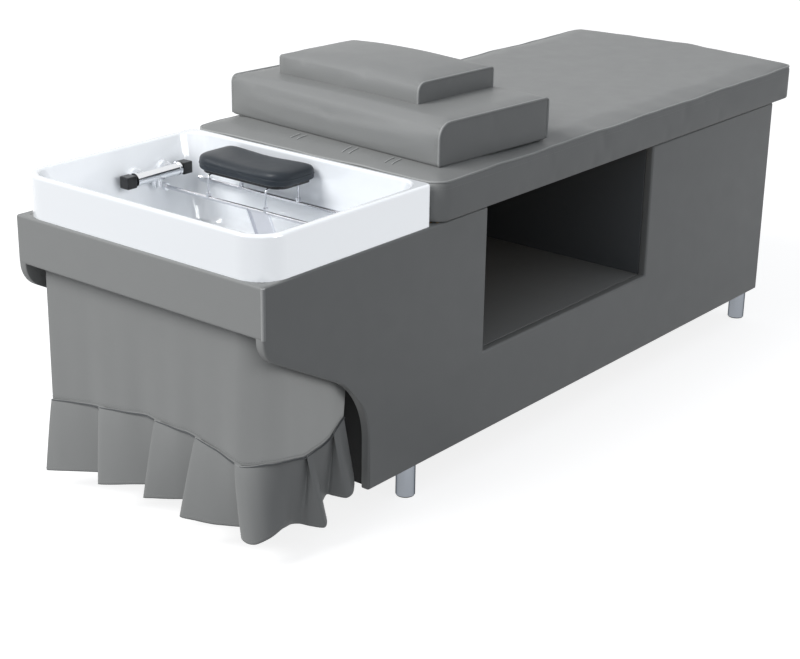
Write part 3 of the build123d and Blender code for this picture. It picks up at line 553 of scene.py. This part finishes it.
def stitch_tree():
    """Geometry Nodes tree: thread stitches, end to end with a gap, along every edge of a line."""
    tree = bpy.data.node_groups.get("stitch_row")
    if tree:
        return tree
    tree = bpy.data.node_groups.new("stitch_row", "GeometryNodeTree")
    tree.interface.new_socket("Geometry", in_out="INPUT", socket_type="NodeSocketGeometry")
    for name, size in (("Spacing", 0.005), ("Length", 0.0036), ("Thread", 0.0008)):
        socket = tree.interface.new_socket(name, in_out="INPUT", socket_type="NodeSocketFloat")
        socket.default_value = size
        socket.subtype = "DISTANCE"
    tree.interface.new_socket("Finish", in_out="INPUT", socket_type="NodeSocketMaterial")
    tree.interface.new_socket("Geometry", in_out="OUTPUT", socket_type="NodeSocketGeometry")
    given = add(tree, "NodeGroupInput")
    line = add(tree, "GeometryNodeMeshToCurve", {"Mesh": given.outputs["Geometry"]})
    row = add(tree, "GeometryNodeResampleCurve", {
        "Curve": line.outputs[0], "Length": given.outputs["Spacing"],
    }, mode="LENGTH")
    heading = add(tree, "GeometryNodeInputTangent")
    turn = add(tree, "FunctionNodeAlignRotationToVector", {"Vector": heading.outputs[0]}, axis="X")
    bead = add(tree, "GeometryNodeMeshIcoSphere", {"Radius": 0.5, "Subdivisions": 2})
    size = add(tree, "ShaderNodeCombineXYZ", {
        "X": given.outputs["Length"], "Y": given.outputs["Thread"], "Z": given.outputs["Thread"],
    })
    stitches = add(tree, "GeometryNodeInstanceOnPoints", {
        "Points": row.outputs[0], "Instance": bead.outputs[0], "Rotation": turn.outputs[0], "Scale": size.outputs[0],
    })
    real = add(tree, "GeometryNodeRealizeInstances", {"Geometry": stitches.outputs[0]})
    thread = add(tree, "GeometryNodeSetMaterial", {"Geometry": real.outputs[0], "Material": given.outputs["Finish"]})
    add(tree, "NodeGroupOutput", {"Geometry": thread.outputs[0]})
    return tree


def stitch_rows(name, rows, material, body, slot, spacing=0.005, length=0.0036, thread=0.0008):
    """Sews rows of stitches. Each row is (points, closed)."""
    mesh = bpy.data.meshes.new(name)
    points, edges = [], []
    for row, closed in rows:
        first = len(points)
        points += [tuple(p) for p in row]
        edges += [(first + i, first + i + 1) for i in range(len(row) - 1)]
        if closed:
            edges.append((len(points) - 1, first))
    mesh.from_pydata(points, edges, [])
    piece = linked(name, mesh)
    tree = stitch_tree()
    nodes = piece.modifiers.new("stitches", "NODES")
    nodes.node_group = tree
    values = {"Spacing": spacing, "Length": length, "Thread": thread, "Finish": finish(material)}
    for item in tree.interface.items_tree:
        if item.in_out == "INPUT" and item.name in values:
            nodes[item.identifier] = values[item.name]
    piece = settle(piece)
    piece.data.shade_smooth()
    place_piece(piece, body, slot)


# Sizes and colours a user would change

def metres(name, description, default, low, high):
    """A setting that is a length, in metres."""
    return bpy.props.FloatProperty(
        name=name, description=description, default=default, min=low, max=high, unit="LENGTH",
    )


def hex_colour(name, description, code):
    """A setting that is a colour, given as a hex code."""
    return bpy.props.FloatVectorProperty(
        name=name, description=description, default=linear(code), size=4, min=0.0, max=1.0, subtype="COLOR",
    )


class WashBedSizes(bpy.types.PropertyGroup):
    """Sizes of the soft covers."""

    mattress_edge: metres("Mattress Edge", "Radius along the top edge of the mattress", 0.011, 0.003, 0.03)
    mattress_crown: metres("Mattress Crown", "How far the mattress top rises above its seam", 0.006, 0.0, 0.02)
    bolster_front: metres("Bolster Front", "Radius of the bolster's top edge at the basin", 0.032, 0.005, 0.04)
    pillow_front: metres("Pillow Front", "Radius of the pillow's top edge at the basin", 0.020, 0.004, 0.024)
    piping: metres("Piping", "Radius of the piping along the cover seams", 0.0021, 0.0008, 0.006)
    ruffle_flare: metres("Ruffle Flare", "How far the folds of the ruffle stand out at the hem", 0.026, 0.0, 0.06)


class WashBedColours(bpy.types.PropertyGroup):
    """Colours of the main finishes."""

    leather: hex_colour("Leather", "Covers of the cabinet, mattress, bolster, pillow and curtain", "#8d8e8d")
    # Painted shade: a darker leather for the shade inside the cubby.
    lining: hex_colour("Lining", "Inside of the cubby", "#5c5f61")
    neck_rest: hex_colour("Neck Rest", "Cover of the neck rest", "#272e35")
    basin: hex_colour("Basin", "Moulded basin", "#f6f9fc")


# Stage

CAMERA_TURN = (51.383, 20.830, 0.937)
CAMERA_PLACE = (-2.9661, -2.2277, 1.54305)
CAMERA_LENS = 77.257
FLOOR_REACH = 60


def photograph_camera():
    """The camera that the photograph was taken with, solved from the cabinet's edges."""
    yaw, pitch, roll = (math.radians(angle) for angle in CAMERA_TURN)
    ahead = Vector((math.sin(yaw) * math.cos(pitch), math.cos(yaw) * math.cos(pitch), -math.sin(pitch)))
    right = Vector((math.cos(yaw), -math.sin(yaw), 0))
    up = right.cross(ahead)
    across = right * math.cos(roll) + up * math.sin(roll)
    upright = up * math.cos(roll) - right * math.sin(roll)
    data = bpy.data.cameras.new("camera")
    data.sensor_width = 36
    data.lens = CAMERA_LENS
    data.clip_end = FLOOR_REACH
    camera = linked("camera", data)
    turn = Matrix((across, upright, -ahead)).transposed().to_4x4()
    camera.matrix_world = Matrix.Translation(CAMERA_PLACE) @ turn
    bpy.context.scene.camera = camera


def soft_box(name, place, aim, size, power, only=None):
    """A large square studio lamp. only names the pieces that it lights, if it doesn't light them all."""
    data = bpy.data.lights.new(name, "AREA")
    data.size = size
    data.energy = power
    lamp = linked(name, data)
    lamp.location = place
    lamp.rotation_euler = (Vector(aim) - Vector(place)).to_track_quat("-Z", "Y").to_euler()
    if only:
        lit = bpy.data.collections.new(name + "_lights")
        for piece in only:
            lit.objects.link(piece)
        lamp.light_linking.receiver_collection = lit


def seen_directly(tree):
    """One where the camera, a mirror or clear glass sees the surface, zero for light bounced off it."""
    path = add(tree, "ShaderNodeLightPath").outputs
    both = add(tree, "ShaderNodeMath", {0: path["Is Camera Ray"], 1: path["Is Glossy Ray"]}, operation="MAXIMUM")
    return add(tree, "ShaderNodeMath", {
        0: both.outputs[0], 1: path["Is Transmission Ray"],
    }, operation="MAXIMUM").outputs[0]


class WASHBED_OT_stage(bpy.types.Operator):
    """Sets up the floor, the pale surroundings, the lamps and the camera"""

    bl_idname = "washbed.stage"
    bl_label = "Stage"

    def execute(self, context):
        photograph_camera()
        scene = context.scene
        scene.view_settings.view_transform = "Standard"

        world = bpy.data.worlds.new("pale_room")
        world.use_nodes = True
        world.node_tree.nodes.clear()
        tree = world.node_tree
        seen = seen_directly(tree)
        strength = add(tree, "ShaderNodeMapRange", {"Value": seen, "To Min": 0.4, "To Max": 1.0})
        sky = add(tree, "ShaderNodeMix", {
            "Factor": seen, 6: linear("#f2f7ff"), 7: linear("#ffffff"),
        }, data_type="RGBA")
        room = add(tree, "ShaderNodeBackground", {"Color": sky.outputs[2], "Strength": strength.outputs[0]})
        add(tree, "ShaderNodeOutputWorld", {"Surface": room.outputs[0]})
        scene.world = world

        material, tree, place = blank("pale_painted_floor")
        dull = add(tree, "ShaderNodeBsdfDiffuse", {"Color": tinted(tree, place, 400, linear("#8c8c8c"), 0.98)})
        white = add(tree, "ShaderNodeBsdfDiffuse", {"Color": linear("#b0b0b0")})
        glow = add(tree, "ShaderNodeEmission", {"Color": linear("#ffffff"), "Strength": 0.83})
        pale = add(tree, "ShaderNodeAddShader", {0: white.outputs[0], 1: glow.outputs[0]})
        mixed = add(tree, "ShaderNodeMixShader", {0: seen_directly(tree), 1: dull.outputs[0], 2: pale.outputs[0]})
        show(material, mixed)
        mesh = bpy.data.meshes.new("floor")
        corners = (-1, -1), (1, -1), (1, 1), (-1, 1)
        mesh.from_pydata([(x * FLOOR_REACH, y * FLOOR_REACH, 0) for x, y in corners], [], [(0, 1, 2, 3)])
        mesh.materials.append(material)
        floor = linked("floor", mesh)

        soft_box("key_lamp", (-6.6, 2.4, 6.6), (0, 0, 0.4), 4.5, 640)
        # The photograph's white basin and its curtain are nearly as bright on the shaded side.
        pale = [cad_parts["basin_shell"], bpy.data.objects["curtain_drape"]]
        soft_box("fill_lamp", (0.4, -6.0, 2.6), (-0.8, 0, 0.6), 3.5, 212, pale)
        return {"FINISHED"}


# Cabinet

class WASHBED_OT_cabinet(bpy.types.Operator):
    """Covers the boards with leather and finishes the legs and the inner frame"""

    bl_idname = "washbed.cabinet"
    bl_label = "Cabinet"

    def execute(self, context):
        for node, inwards in (
            ("near_side_panel", (0, 1, 0)), ("far_side_panel", (0, -1, 0)), ("foot_panel", (-1, 0, 0)),
        ):
            wrapped_board(node, PANEL_EDGE, "grey_pu_leather", inwards)
        # Painted shade: black backing on the bulkhead and bottom board, which sit in shadow behind the curtain.
        for node in ("bulkhead_panel", "bottom_board"):
            wrapped_board(node, BOARD_EDGE, "black_nonwoven_backing")
        for node in ("basin_cross_rail", "corner_blocks"):
            wrapped_board(node, BOARD_EDGE, "grey_pu_leather")
        self.apron()
        for node in ("cubby_head_wall", "cubby_foot_wall", "cubby_back_board"):
            wrapped_board(node, BOARD_EDGE, "cubby_lining_leather")
        wrapped_board("cubby_floor", BOARD_EDGE, "grey_pu_leather")
        dress_nodes("planed_board", "deck_cross_rails", "leg_blocks", "mattress_board")
        dress_nodes("satin_chromium", "near_head_leg", "far_head_leg", "near_foot_leg", "far_foot_leg")
        dress_nodes("black_nitrile_rubber", "leg_pads")

        low, high = (Vector(c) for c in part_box("head_apron"))
        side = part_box("near_side_panel")[0][1]
        sunk, short, radius = 0.0012, 0.001, 0.0042
        heights = np.linspace(low.z + short, high.z - short, 30)
        near = np.array([(low.x + sunk, side + sunk, z) for z in heights])
        tube("corner_piping", near, radius, "grey_pu_piping", "cabinet", "panel_leather")
        return {"FINISHED"}

    def apron(self):
        """The apron's cover runs on over the ends of both side panels, so no joint shows at the head end."""
        low, high = (np.array(c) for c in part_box("head_apron"))
        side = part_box("near_side_panel")[0][1]
        within, above, ahead = 0.0008, 0.0004, 0.0007
        half = np.array([(high[0] - low[0]) / 2, -side - within, (high[2] - low[2]) / 2 + above])
        middle = np.array([(high[0] + low[0]) / 2 - ahead, 0, (high[2] + low[2]) / 2])
        edge, top_edge, margin, step = 0.004, 0.005, 0.006, 0.02
        steps = [spaced(half[0], edge, edge), spaced(half[1], margin, step), spaced(half[2], margin, step)]
        grid, faces = box_grid([steps[1], steps[2], steps[0]])
        made = rounded(grid, half[[1, 2, 0]], (edge, top_edge, edge, top_edge), (edge, edge))
        piece = new_piece("head_apron_cover", made[:, [2, 0, 1]] + middle, faces, "grey_pu_leather")
        place_piece(piece, "cabinet", "panel_leather", "head_apron")


# Mattress

# The middles of the pairs of tufts across the head end of its top
TUFTS = ((-0.417, 0.083), (-0.425, -0.063), (-0.432, -0.179))


class WASHBED_OT_mattress(bpy.types.Operator):
    """Pads the mattress, pipes its top seam and sews its head end"""

    bl_idname = "washbed.mattress"
    bl_label = "Mattress"

    def execute(self, context):
        sizes = context.scene.wash_bed_sizes
        low, high = (np.array(c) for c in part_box("mattress"))
        seat, past_foot, below_crown = 0.0004, 0.012, 0.001
        low[2] += seat
        high[0] += past_foot
        crown, crest = sizes.mattress_crown, high[2]
        high[2] = crest - crown - below_crown
        half, middle = (high - low) / 2, (high + low) / 2
        corner = (0.034, 0.034, 0.026, 0.030)
        edge = (0.006, sizes.mattress_edge)
        step = 0.012
        steps = [spaced(half[0], corner[0], step), spaced(half[1], corner[0], step), spaced(half[2], step, step)]
        shoulder, foot_rise, foot_skew, uneven = 0.06, 0.011, 0.016, 0.0012

        def shape(points):
            made = rounded(points, half, corner, edge)
            inset = np.minimum(half[0] - np.abs(made[:, 0]), half[1] - np.abs(made[:, 1]))
            rise = np.clip(inset / shoulder, 0, 1)
            swell = crown * (1 - (1 - rise) ** 2)
            level = np.clip(made[:, 2] / half[2], 0, 1)
            made[:, 2] += swell * level ** 4
            foot = np.clip(made[:, 0] / half[0], 0, 1) ** 5
            made[:, 2] += foot_rise * foot * (1 - (made[:, 1] / half[1]) ** 2) * level ** 4
            made[:, 0] += foot_skew * foot * (0.5 + 0.5 * made[:, 1] / half[1])
            drift = wander(points[:, 0] + points[:, 1], 3, uneven)
            made[:, 2] += drift * (np.abs(points[:, 2] - half[2]) < SAME) * (rise < 0.3) * level
            return made + middle

        grid, faces = box_grid(steps)
        seam = on_rim(grid, half) & (np.abs(grid[:, 2] - half[2]) < SAME)
        under = grid[:, 2] < SAME - half[2]
        piece = foam_cover("mattress_pad", shape(grid), faces, "grey_pu_leather", seam | under, 0.003, 0.0012)
        place_piece(piece, "cabinet", "mattress_leather", "mattress")

        rim = around(steps[0], steps[1])
        line = shape(at_level(rim, half[2]))
        tube("mattress_piping", line, sizes.piping * 1.2, "grey_pu_piping", "cabinet", "mattress_leather", True)
        below_seam = 0.016
        row = onto(piece, shape(at_level(rim, half[2] - below_seam)))
        stitch_rows("mattress_stitches", [(row, True)], "grey_polyester_thread", "cabinet", "mattress_leather",
                    0.006, 0.0042, 0.0009)
        tufts = []
        apart, reach, lean, lift = 0.009, 0.014, 0.1, 0.0009
        run = np.linspace(-reach, reach, 8)
        for x, y in TUFTS:
            for side in (-apart, apart):
                row = at_level(np.column_stack([x + run, y + side + run * lean]), crest)
                tufts.append((lay_on(piece, row, lift), False))
        stitch_rows("tuft_stitches", tufts, "pale_polyester_thread", "cabinet", "mattress_leather",
                    0.0045, 0.0056, 0.0026)
        return {"FINISHED"}


# Bolster and pillow

def loaf(node, centre, turn, size, front, back, corner, crown):
    """A long cushion whose cover wraps round it, with a flat panel sewn into each end.

    front is the radius of its top edge at the basin: first by the near end, then by the far end. back is the
    radius of the other top edge by the far end, and corner that of the edges below.
    Returns the cushion, the piped seam over each of its end panels, the stitches beside them, the line of
    the zip on the foot side, and the way out from that side.
    """
    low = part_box(node)[0]
    half = np.array([size[0] / 2, size[2] / 2, size[1] / 2])
    step, near_edge, from_seam, zip_margin, zip_height, zip_points = 0.008, 0.005, 0.009, 0.04, 0.017, 60
    steps = [spaced(half[0], front[0], step), spaced(half[1], corner, step), spaced(half[2], step, step)]
    spin = np.array(Matrix.Rotation(math.radians(turn), 3, "Z"))

    def shape(points):
        ends = -half[2], half[2]
        fronts, backs = np.interp(points[:, 2], ends, front), np.interp(points[:, 2], ends, (corner, back))
        made = rounded(points, half, (corner, fronts, corner, backs), (near_edge, back))
        across, height, along = made[:, 0], made[:, 1], made[:, 2]
        level = np.clip(height / half[1], 0, 1)
        swell = (1 - (across / half[0]) ** 4).clip(0) * (1 - (along / half[2]) ** 2).clip(0)
        height = height + crown * swell * level ** 2
        flat = np.column_stack([across, along, height + half[1]])
        return flat @ spin.T + np.array([centre[0], centre[1], low[2]])

    grid, faces = box_grid(steps)
    seam = on_rim(grid, half) & (np.abs(np.abs(grid[:, 2]) - half[2]) < SAME)
    under = grid[:, 1] < corner - half[1]
    piece = foam_cover(node + "_pad", shape(grid), faces[:, ::-1], "grey_pu_leather", seam | under, 0.003, 0.001)
    outline = around(steps[0], steps[1])[len(steps[0]) - 1:]
    seams, sewn = [], []
    for end, beside in ((-half[2], from_seam - half[2]), (half[2], half[2] - from_seam)):
        seams.append(shape(at_level(outline, end)))
        sewn.append((onto(piece, shape(at_level(outline, beside))), False))
    along = np.linspace(zip_margin - half[2], half[2] - zip_margin, zip_points)
    side = np.full((zip_points, 2), (half[0], zip_height - half[1]))
    zip_line = onto(piece, shape(np.column_stack([side, along])))
    return piece, seams, sewn, zip_line, spin[:, 0]


class WASHBED_OT_cushions(bpy.types.Operator):
    """Pads the loose bolster and pillow and pipes their end panels"""

    bl_idname = "washbed.cushions"
    bl_label = "Bolster and Pillow"

    def execute(self, context):
        sizes = context.scene.wash_bed_sizes
        slot, far_share, tape_radius, teeth_out = "mattress_leather", 0.5, 0.0032, 0.0028
        for node, centre, turn, size, front, back, corner, crown in (
            ("bolster", (-0.2255, 0.0085), -4.5, (0.334, 0.604, 0.0885), sizes.bolster_front, 0.010, 0.009, 0.003),
            ("pillow", (-0.2040, 0.0345), -3.5, (0.234, 0.406, 0.0480), sizes.pillow_front, 0.022, 0.007, 0.014),
        ):
            body, fronts = node + "_body", (front, front * far_share)
            piece, seams, sewn, zip_line, outwards = loaf(node, centre, turn, size, fronts, back, corner, crown)
            place_piece(piece, body, slot, node)
            for side, seam in zip(("near", "far"), seams):
                tube(f"{node}_{side}_piping", seam, sizes.piping * 1.25, "grey_pu_piping", body, slot)
            stitch_rows(node + "_stitches", sewn, "grey_polyester_thread", body, slot, 0.0055, 0.004, 0.0009)
            tube(node + "_zip_tape", zip_line, tape_radius, "charcoal_polyester_thread", body, slot)
            teeth = zip_line + outwards * teeth_out
            stitch_rows(node + "_zip_teeth", [(teeth, False)], "black_abs", body, "black_plastic",
                        0.0026, 0.0018, 0.0032)
        return {"FINISHED"}


# Neck rest

class WASHBED_OT_neck_rest(bpy.types.Operator):
    """Pads the neck rest and finishes its rails, shoes, wires and plate"""

    bl_idname = "washbed.neck_rest"
    bl_label = "Neck Rest"

    def execute(self, context):
        low, high = (np.array(c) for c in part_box("rest_cushion"))
        half, middle = (high - low) / 2, (high + low) / 2
        step, round_end, side = 0.004, 0.036, 0.012
        steps = [spaced(half[0], round_end, step), spaced(half[1], round_end, step), spaced(half[2], side, step)]
        corner = (0.038, 0.038, 0.020, 0.020)
        edge = (0.007, 0.013)
        dip, seam_level, seam_radius = 0.0035, 0.002, 0.0013

        def shape(points):
            made = rounded(points, half, corner, edge)
            level = np.clip(made[:, 2] / half[2], 0, 1)
            hollow = np.cos(np.clip(made[:, 1] / half[1], -1, 1) * np.pi / 2) ** 2
            made[:, 2] -= dip * hollow * level
            return made + middle

        grid, faces = box_grid(steps)
        seam = on_rim(grid, half) & (np.abs(grid[:, 2]) < seam_level)
        under = grid[:, 2] < SAME - half[2]
        piece = foam_cover("neck_rest_pad", shape(grid), faces, "black_soft_pu", seam | under, 0.0015, 0.002)
        place_piece(piece, "neck_rest", "neck_rest_leather", "rest_cushion")

        line = onto(piece, shape(at_level(around(steps[0], steps[1]), -seam_level)))
        tube("neck_rest_piping", line, seam_radius, "black_soft_pu", "neck_rest", "neck_rest_leather", True)

        dress_nodes("black_abs", "wire_clips", "rest_plate", "prop_pad")
        dress_nodes("bright_drawn_steel", "rest_wires", "rail_prop", "front_rail", "back_rail", "rail_shoes")
        dress_nodes("chromium_plate", "rail_sockets")
        return {"FINISHED"}


# Basin, drain and tap

class WASHBED_OT_basin(bpy.types.Operator):
    """Finishes the moulded basin, its drain and its tap"""

    bl_idname = "washbed.basin"
    bl_label = "Basin and Tap"

    def execute(self, context):
        dress_nodes("white_cast_acrylic", "basin_shell")
        dress_nodes("chromium_plate", "drain_cup", "strainer", "tap_body", "tap_wall_flanges")
        dress_nodes("black_nitrile_rubber", "drain_gasket", "tap_washers")
        dress_nodes("white_polypropylene", "drain_locknut", "drain_tailpiece", "drain_union")
        dress_nodes("black_abs", "flow_knob", "temperature_knob")
        dress_nodes("turned_brass", "tap_back_nuts", "flow_spindle", "temperature_spindle")
        return {"FINISHED"}


# Curtain and ruffle

# The curtain's path round the near corner, seen from above, in metres
CORNER = 0.065
FRONT_RUN = 0.5227
SIDE_RUN = 0.1777
CORNER_RUN = math.pi / 2 * CORNER
FULL_RUN = FRONT_RUN + CORNER_RUN + SIDE_RUN
PATH_X, PATH_Y = -0.9347, -0.2997
FAR_MARGIN = 0.012
# From here on the curtain's side edge leans back to the head end, by this much at its foot
LEAN_START, LEAN = 0.66, 0.026
CLOTH = 0.0012

# Height and wave length of the curtain's two ripples, and how much fuller it hangs at the corner, and how far round
RIPPLE, RIPPLE_RUN, CREASE, CREASE_RUN = 0.0016, 0.172, 0.0006, 0.071
FULLNESS, FULLNESS_RUN = 0.007, 0.12

# The ruffle's folds, in millimetres: distance and stand-off at the seam, distance and stand-off and
# height at the hem. A knife pleat goes to its far edge, doubles back under the next one and comes out again.
# They stand off at the hem as written when the ruffle's flare is FOLDS_FLARE.
FOLDS_FLARE = 0.026
FOLDS = (
    (12, 3, 5, 24, 34), (42, 2.4, 40, 20, 42), (80, 1.6, 88, 8, 51), (125, 0.9, 140, -6, 60),
    (163, 0.5, 186, -18, 68),
    (160, 1.4, 180, -6, 64), (151, 3.2, 163, 27, 55), (186, 2.4, 196, 21, 61), (230, 1.6, 240, 5, 70),
    (280, 0.9, 284, -9, 78), (319, 0.5, 318, -18, 85), (316, 1.4, 310, -6, 82), (307, 3.2, 290, 25, 66),
    (334, 2.4, 314, 19, 69), (365, 1.6, 345, 6, 73), (400, 0.9, 384, -8, 80), (428, 0.5, 416, -16, 85),
    (425, 1.4, 410, -4, 82), (416, 3.2, 393, 29, 62), (440, 2.6, 427, 22, 61), (470, 2, 464, 11, 61),
    (500, 1.2, 496, -1, 64), (534, 0.5, 534, -14, 68), (530, 1.4, 534, 2, 67), (523, 3.2, 541, 25, 66),
    (530, 3.4, 551, 32, 61), (542, 3, 562, 33, 61), (560, 2.4, 579, 25, 69), (585, 1.2, 601, 9, 76),
    (620, 0.9, 628, -2, 71), (671, 0.5, 655, -4, 61), (668, 1.4, 666, 10, 57), (662, 3.2, 689, 27, 50),
    (676, 2.8, 704, 21, 58), (700, 1.4, 716, -2, 78), (748, 0.5, 738, -10, 88), (745, 1.4, 746, -2, 86),
    (740, 3.2, 764, 17, 80), (750, 2.4, 784, 17, 82), (762, 1.2, 800, 8, 92), (776, 0.8, 810, -2, 104),
)


def hung(along, outward, height):
    """Points on the curtain: distance along its path from the far end, distance out from it, and height."""
    along, outward = np.asarray(along, dtype=float), np.asarray(outward, dtype=float)
    angle = np.clip((along - FRONT_RUN) / CORNER, 0, math.pi / 2)
    before = np.minimum(along - FRONT_RUN, 0)
    after = np.maximum(along - FRONT_RUN - CORNER_RUN, 0)
    centre_x, centre_y = PATH_X + CORNER, PATH_Y + CORNER
    x = centre_x - (CORNER + outward) * np.cos(angle) + after
    y = centre_y - (CORNER + outward) * np.sin(angle) - before
    return np.stack([x, y, np.asarray(height, dtype=float) + 0 * x], -1)


def seam_height(along):
    """Height of the seam between curtain and ruffle, which sags and climbs along its run."""
    places = (0, 75, 155, 220, 283, 316, 393, 440, 487, 536, 574, 608, 660, 705, 730, 762, 802)
    heights = (182, 195, 207, 217, 226, 223, 225, 217, 209, 200, 209, 207, 197, 203, 210, 230, 254)
    along = np.asarray(along) * 1000
    return np.interp(along, places, heights) / 1000


def curtain_out(along, fall=1.0):
    """How far the hanging curtain stands out from its path: nearly flat, and fuller round the corner lower down."""
    along = np.asarray(along)
    ripple = RIPPLE * np.sin(along / RIPPLE_RUN * 2 * np.pi + 0.7) + CREASE * np.sin(along / CREASE_RUN * 2 * np.pi)
    corner = np.exp(-((along - FRONT_RUN - CORNER_RUN / 2) / FULLNESS_RUN) ** 2)
    return 0.0008 + ripple * fall ** 1.3 + FULLNESS * corner * fall ** 1.5


def flowing(points, between):
    """A smooth run through rows of numbers, with this many steps from each row to the next."""
    rows = np.array(points, dtype=float)
    rows = np.vstack([2 * rows[0] - rows[1], rows, 2 * rows[-1] - rows[-2]])
    t = np.linspace(0, 1, between, endpoint=False)[:, None]
    run = []
    for a, b, c, d in zip(rows, rows[1:], rows[2:], rows[3:]):
        lean_b, lean_c = (c - a) * 0.42, (d - b) * 0.42
        run.append(
            (2 * t ** 3 - 3 * t ** 2 + 1) * b + (t ** 3 - 2 * t ** 2 + t) * lean_b
            + (3 * t ** 2 - 2 * t ** 3) * c + (t ** 3 - t ** 2) * lean_c
        )
    return np.vstack(run + [rows[-2:-1]])


def sheet_mesh(name, grid, material):
    """A sheet from a grid of points, its outer face outwards."""
    rows, columns = grid.shape[:2]
    index = np.arange(rows * columns).reshape(rows, columns)
    faces = np.stack([index[:-1, :-1], index[:-1, 1:], index[1:, 1:], index[1:, :-1]], -1).reshape(-1, 4)
    return new_piece(name, grid.reshape(-1, 3), faces, material)


def thickened(piece):
    """Smooths a sheet and gives it its thickness, inwards."""
    solid = smoothed(piece).modifiers.new("thickness", "SOLIDIFY")
    solid.thickness = CLOTH
    solid.offset = -1
    return settle(piece)


class WASHBED_OT_curtain(bpy.types.Operator):
    """Hangs the curtain under the basin and sews its pleated ruffle on"""

    bl_idname = "washbed.curtain"
    bl_label = "Curtain"

    def execute(self, context):
        flare = context.scene.wash_bed_sizes.ruffle_flare
        dress_nodes("black_looped_nylon", "curtain_fastener")
        columns, rows, ruffle_rows = 161, 49, 25
        along = np.linspace(FAR_MARGIN, FULL_RUN, columns)
        places, falls = np.meshgrid(along, np.linspace(0, 1, rows), indexing="ij")
        places -= falls * np.clip((places - LEAN_START) / (FULL_RUN - LEAN_START), 0, 1) * LEAN
        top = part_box("curtain")[1][2]
        height = top + (seam_height(places) - top) * falls
        grid = hung(places, curtain_out(places, falls), height)
        curtain = sheet_mesh("curtain_drape", grid, "curtain_pu_leather")
        curtain = thickened(curtain)
        place_piece(curtain, "cabinet", "curtain_cloth", "curtain")

        folds = flowing(FOLDS, 7) / 1000
        drop = np.linspace(0, 1, ruffle_rows)[None, :]
        seam_s, seam_o, hem_s, hem_o, hem_z = (column[:, None] for column in folds.T)
        hem_o = hem_o * flare / FOLDS_FLARE
        places = seam_s + (hem_s - seam_s) * drop
        out = curtain_out(seam_s) * (1 - 0.7 * drop) + seam_o + (hem_o - seam_o) * drop ** 0.85
        tucked_in = 0.003
        start_z = seam_height(seam_s) + tucked_in
        grid = hung(places, out, start_z + (hem_z - start_z) * drop)
        ruffle = sheet_mesh("ruffle_drape", grid, "curtain_pu_leather")
        ruffle = thickened(ruffle)
        place_piece(ruffle, "cabinet", "curtain_cloth", "curtain_ruffle")

        along = np.linspace(FAR_MARGIN, FULL_RUN - LEAN, columns)
        out, height = curtain_out(along), seam_height(along)
        # Painted shadow: a dark cord along the seam stands in for the shadow line under the curtain's lower edge.
        shadow_cord_radius, shadow_cord_out, shadow_cord_up, thread_out, above_seam = 0.0017, 0.0024, 0.0004, 0.0004, 0.008
        line = hung(along, out + shadow_cord_out, height + shadow_cord_up)
        tube("ruffle_binding", line, shadow_cord_radius, "charcoal_polyester_thread", "cabinet", "curtain_cloth")
        line = hung(along, out + thread_out, height + above_seam)
        for name, row in (("curtain_stitches", line), ("hem_stitches", onto(ruffle, grid[:, -2]))):
            stitch_rows(name, [(row, False)], "grey_polyester_thread", "cabinet", "curtain_cloth")
        return {"FINISHED"}


class WASHBED_PT_bed(bpy.types.Panel):
    """Lists the pieces of the bed and their sizes and colours"""

    bl_idname = "WASHBED_PT_bed"
    bl_label = "Hair Washing Bed"
    bl_space_type = "VIEW_3D"
    bl_region_type = "UI"
    bl_category = "Wash Bed"

    def draw(self, context):
        for settings in (context.scene.wash_bed_sizes, context.scene.wash_bed_colours):
            column = self.layout.column(align=True)
            for name in settings.__annotations__:
                column.prop(settings, name)
        for piece in PIECES:
            self.layout.operator(piece.bl_idname)


PIECES = (
    WASHBED_OT_cabinet,
    WASHBED_OT_basin,
    WASHBED_OT_mattress,
    WASHBED_OT_cushions,
    WASHBED_OT_neck_rest,
    WASHBED_OT_curtain,
    WASHBED_OT_stage,
)
CLASSES = (WashBedSizes, WashBedColours, *PIECES, WASHBED_PT_bed)


def register():
    """Adds the bed's settings, operators and panel to Blender."""
    for item in CLASSES:
        bpy.utils.register_class(item)
    bpy.types.Scene.wash_bed_sizes = bpy.props.PointerProperty(type=WashBedSizes)
    bpy.types.Scene.wash_bed_colours = bpy.props.PointerProperty(type=WashBedColours)


def unregister():
    """Takes them out again."""
    del bpy.types.Scene.wash_bed_colours
    del bpy.types.Scene.wash_bed_sizes
    for item in reversed(CLASSES):
        bpy.utils.unregister_class(item)


def main():
    """Builds each piece and then the stage."""
    register()
    for piece in PIECES:
        section, name = piece.bl_idname.split(".")
        getattr(getattr(bpy.ops, section), name)()


if __name__ == "__main__":
    main()
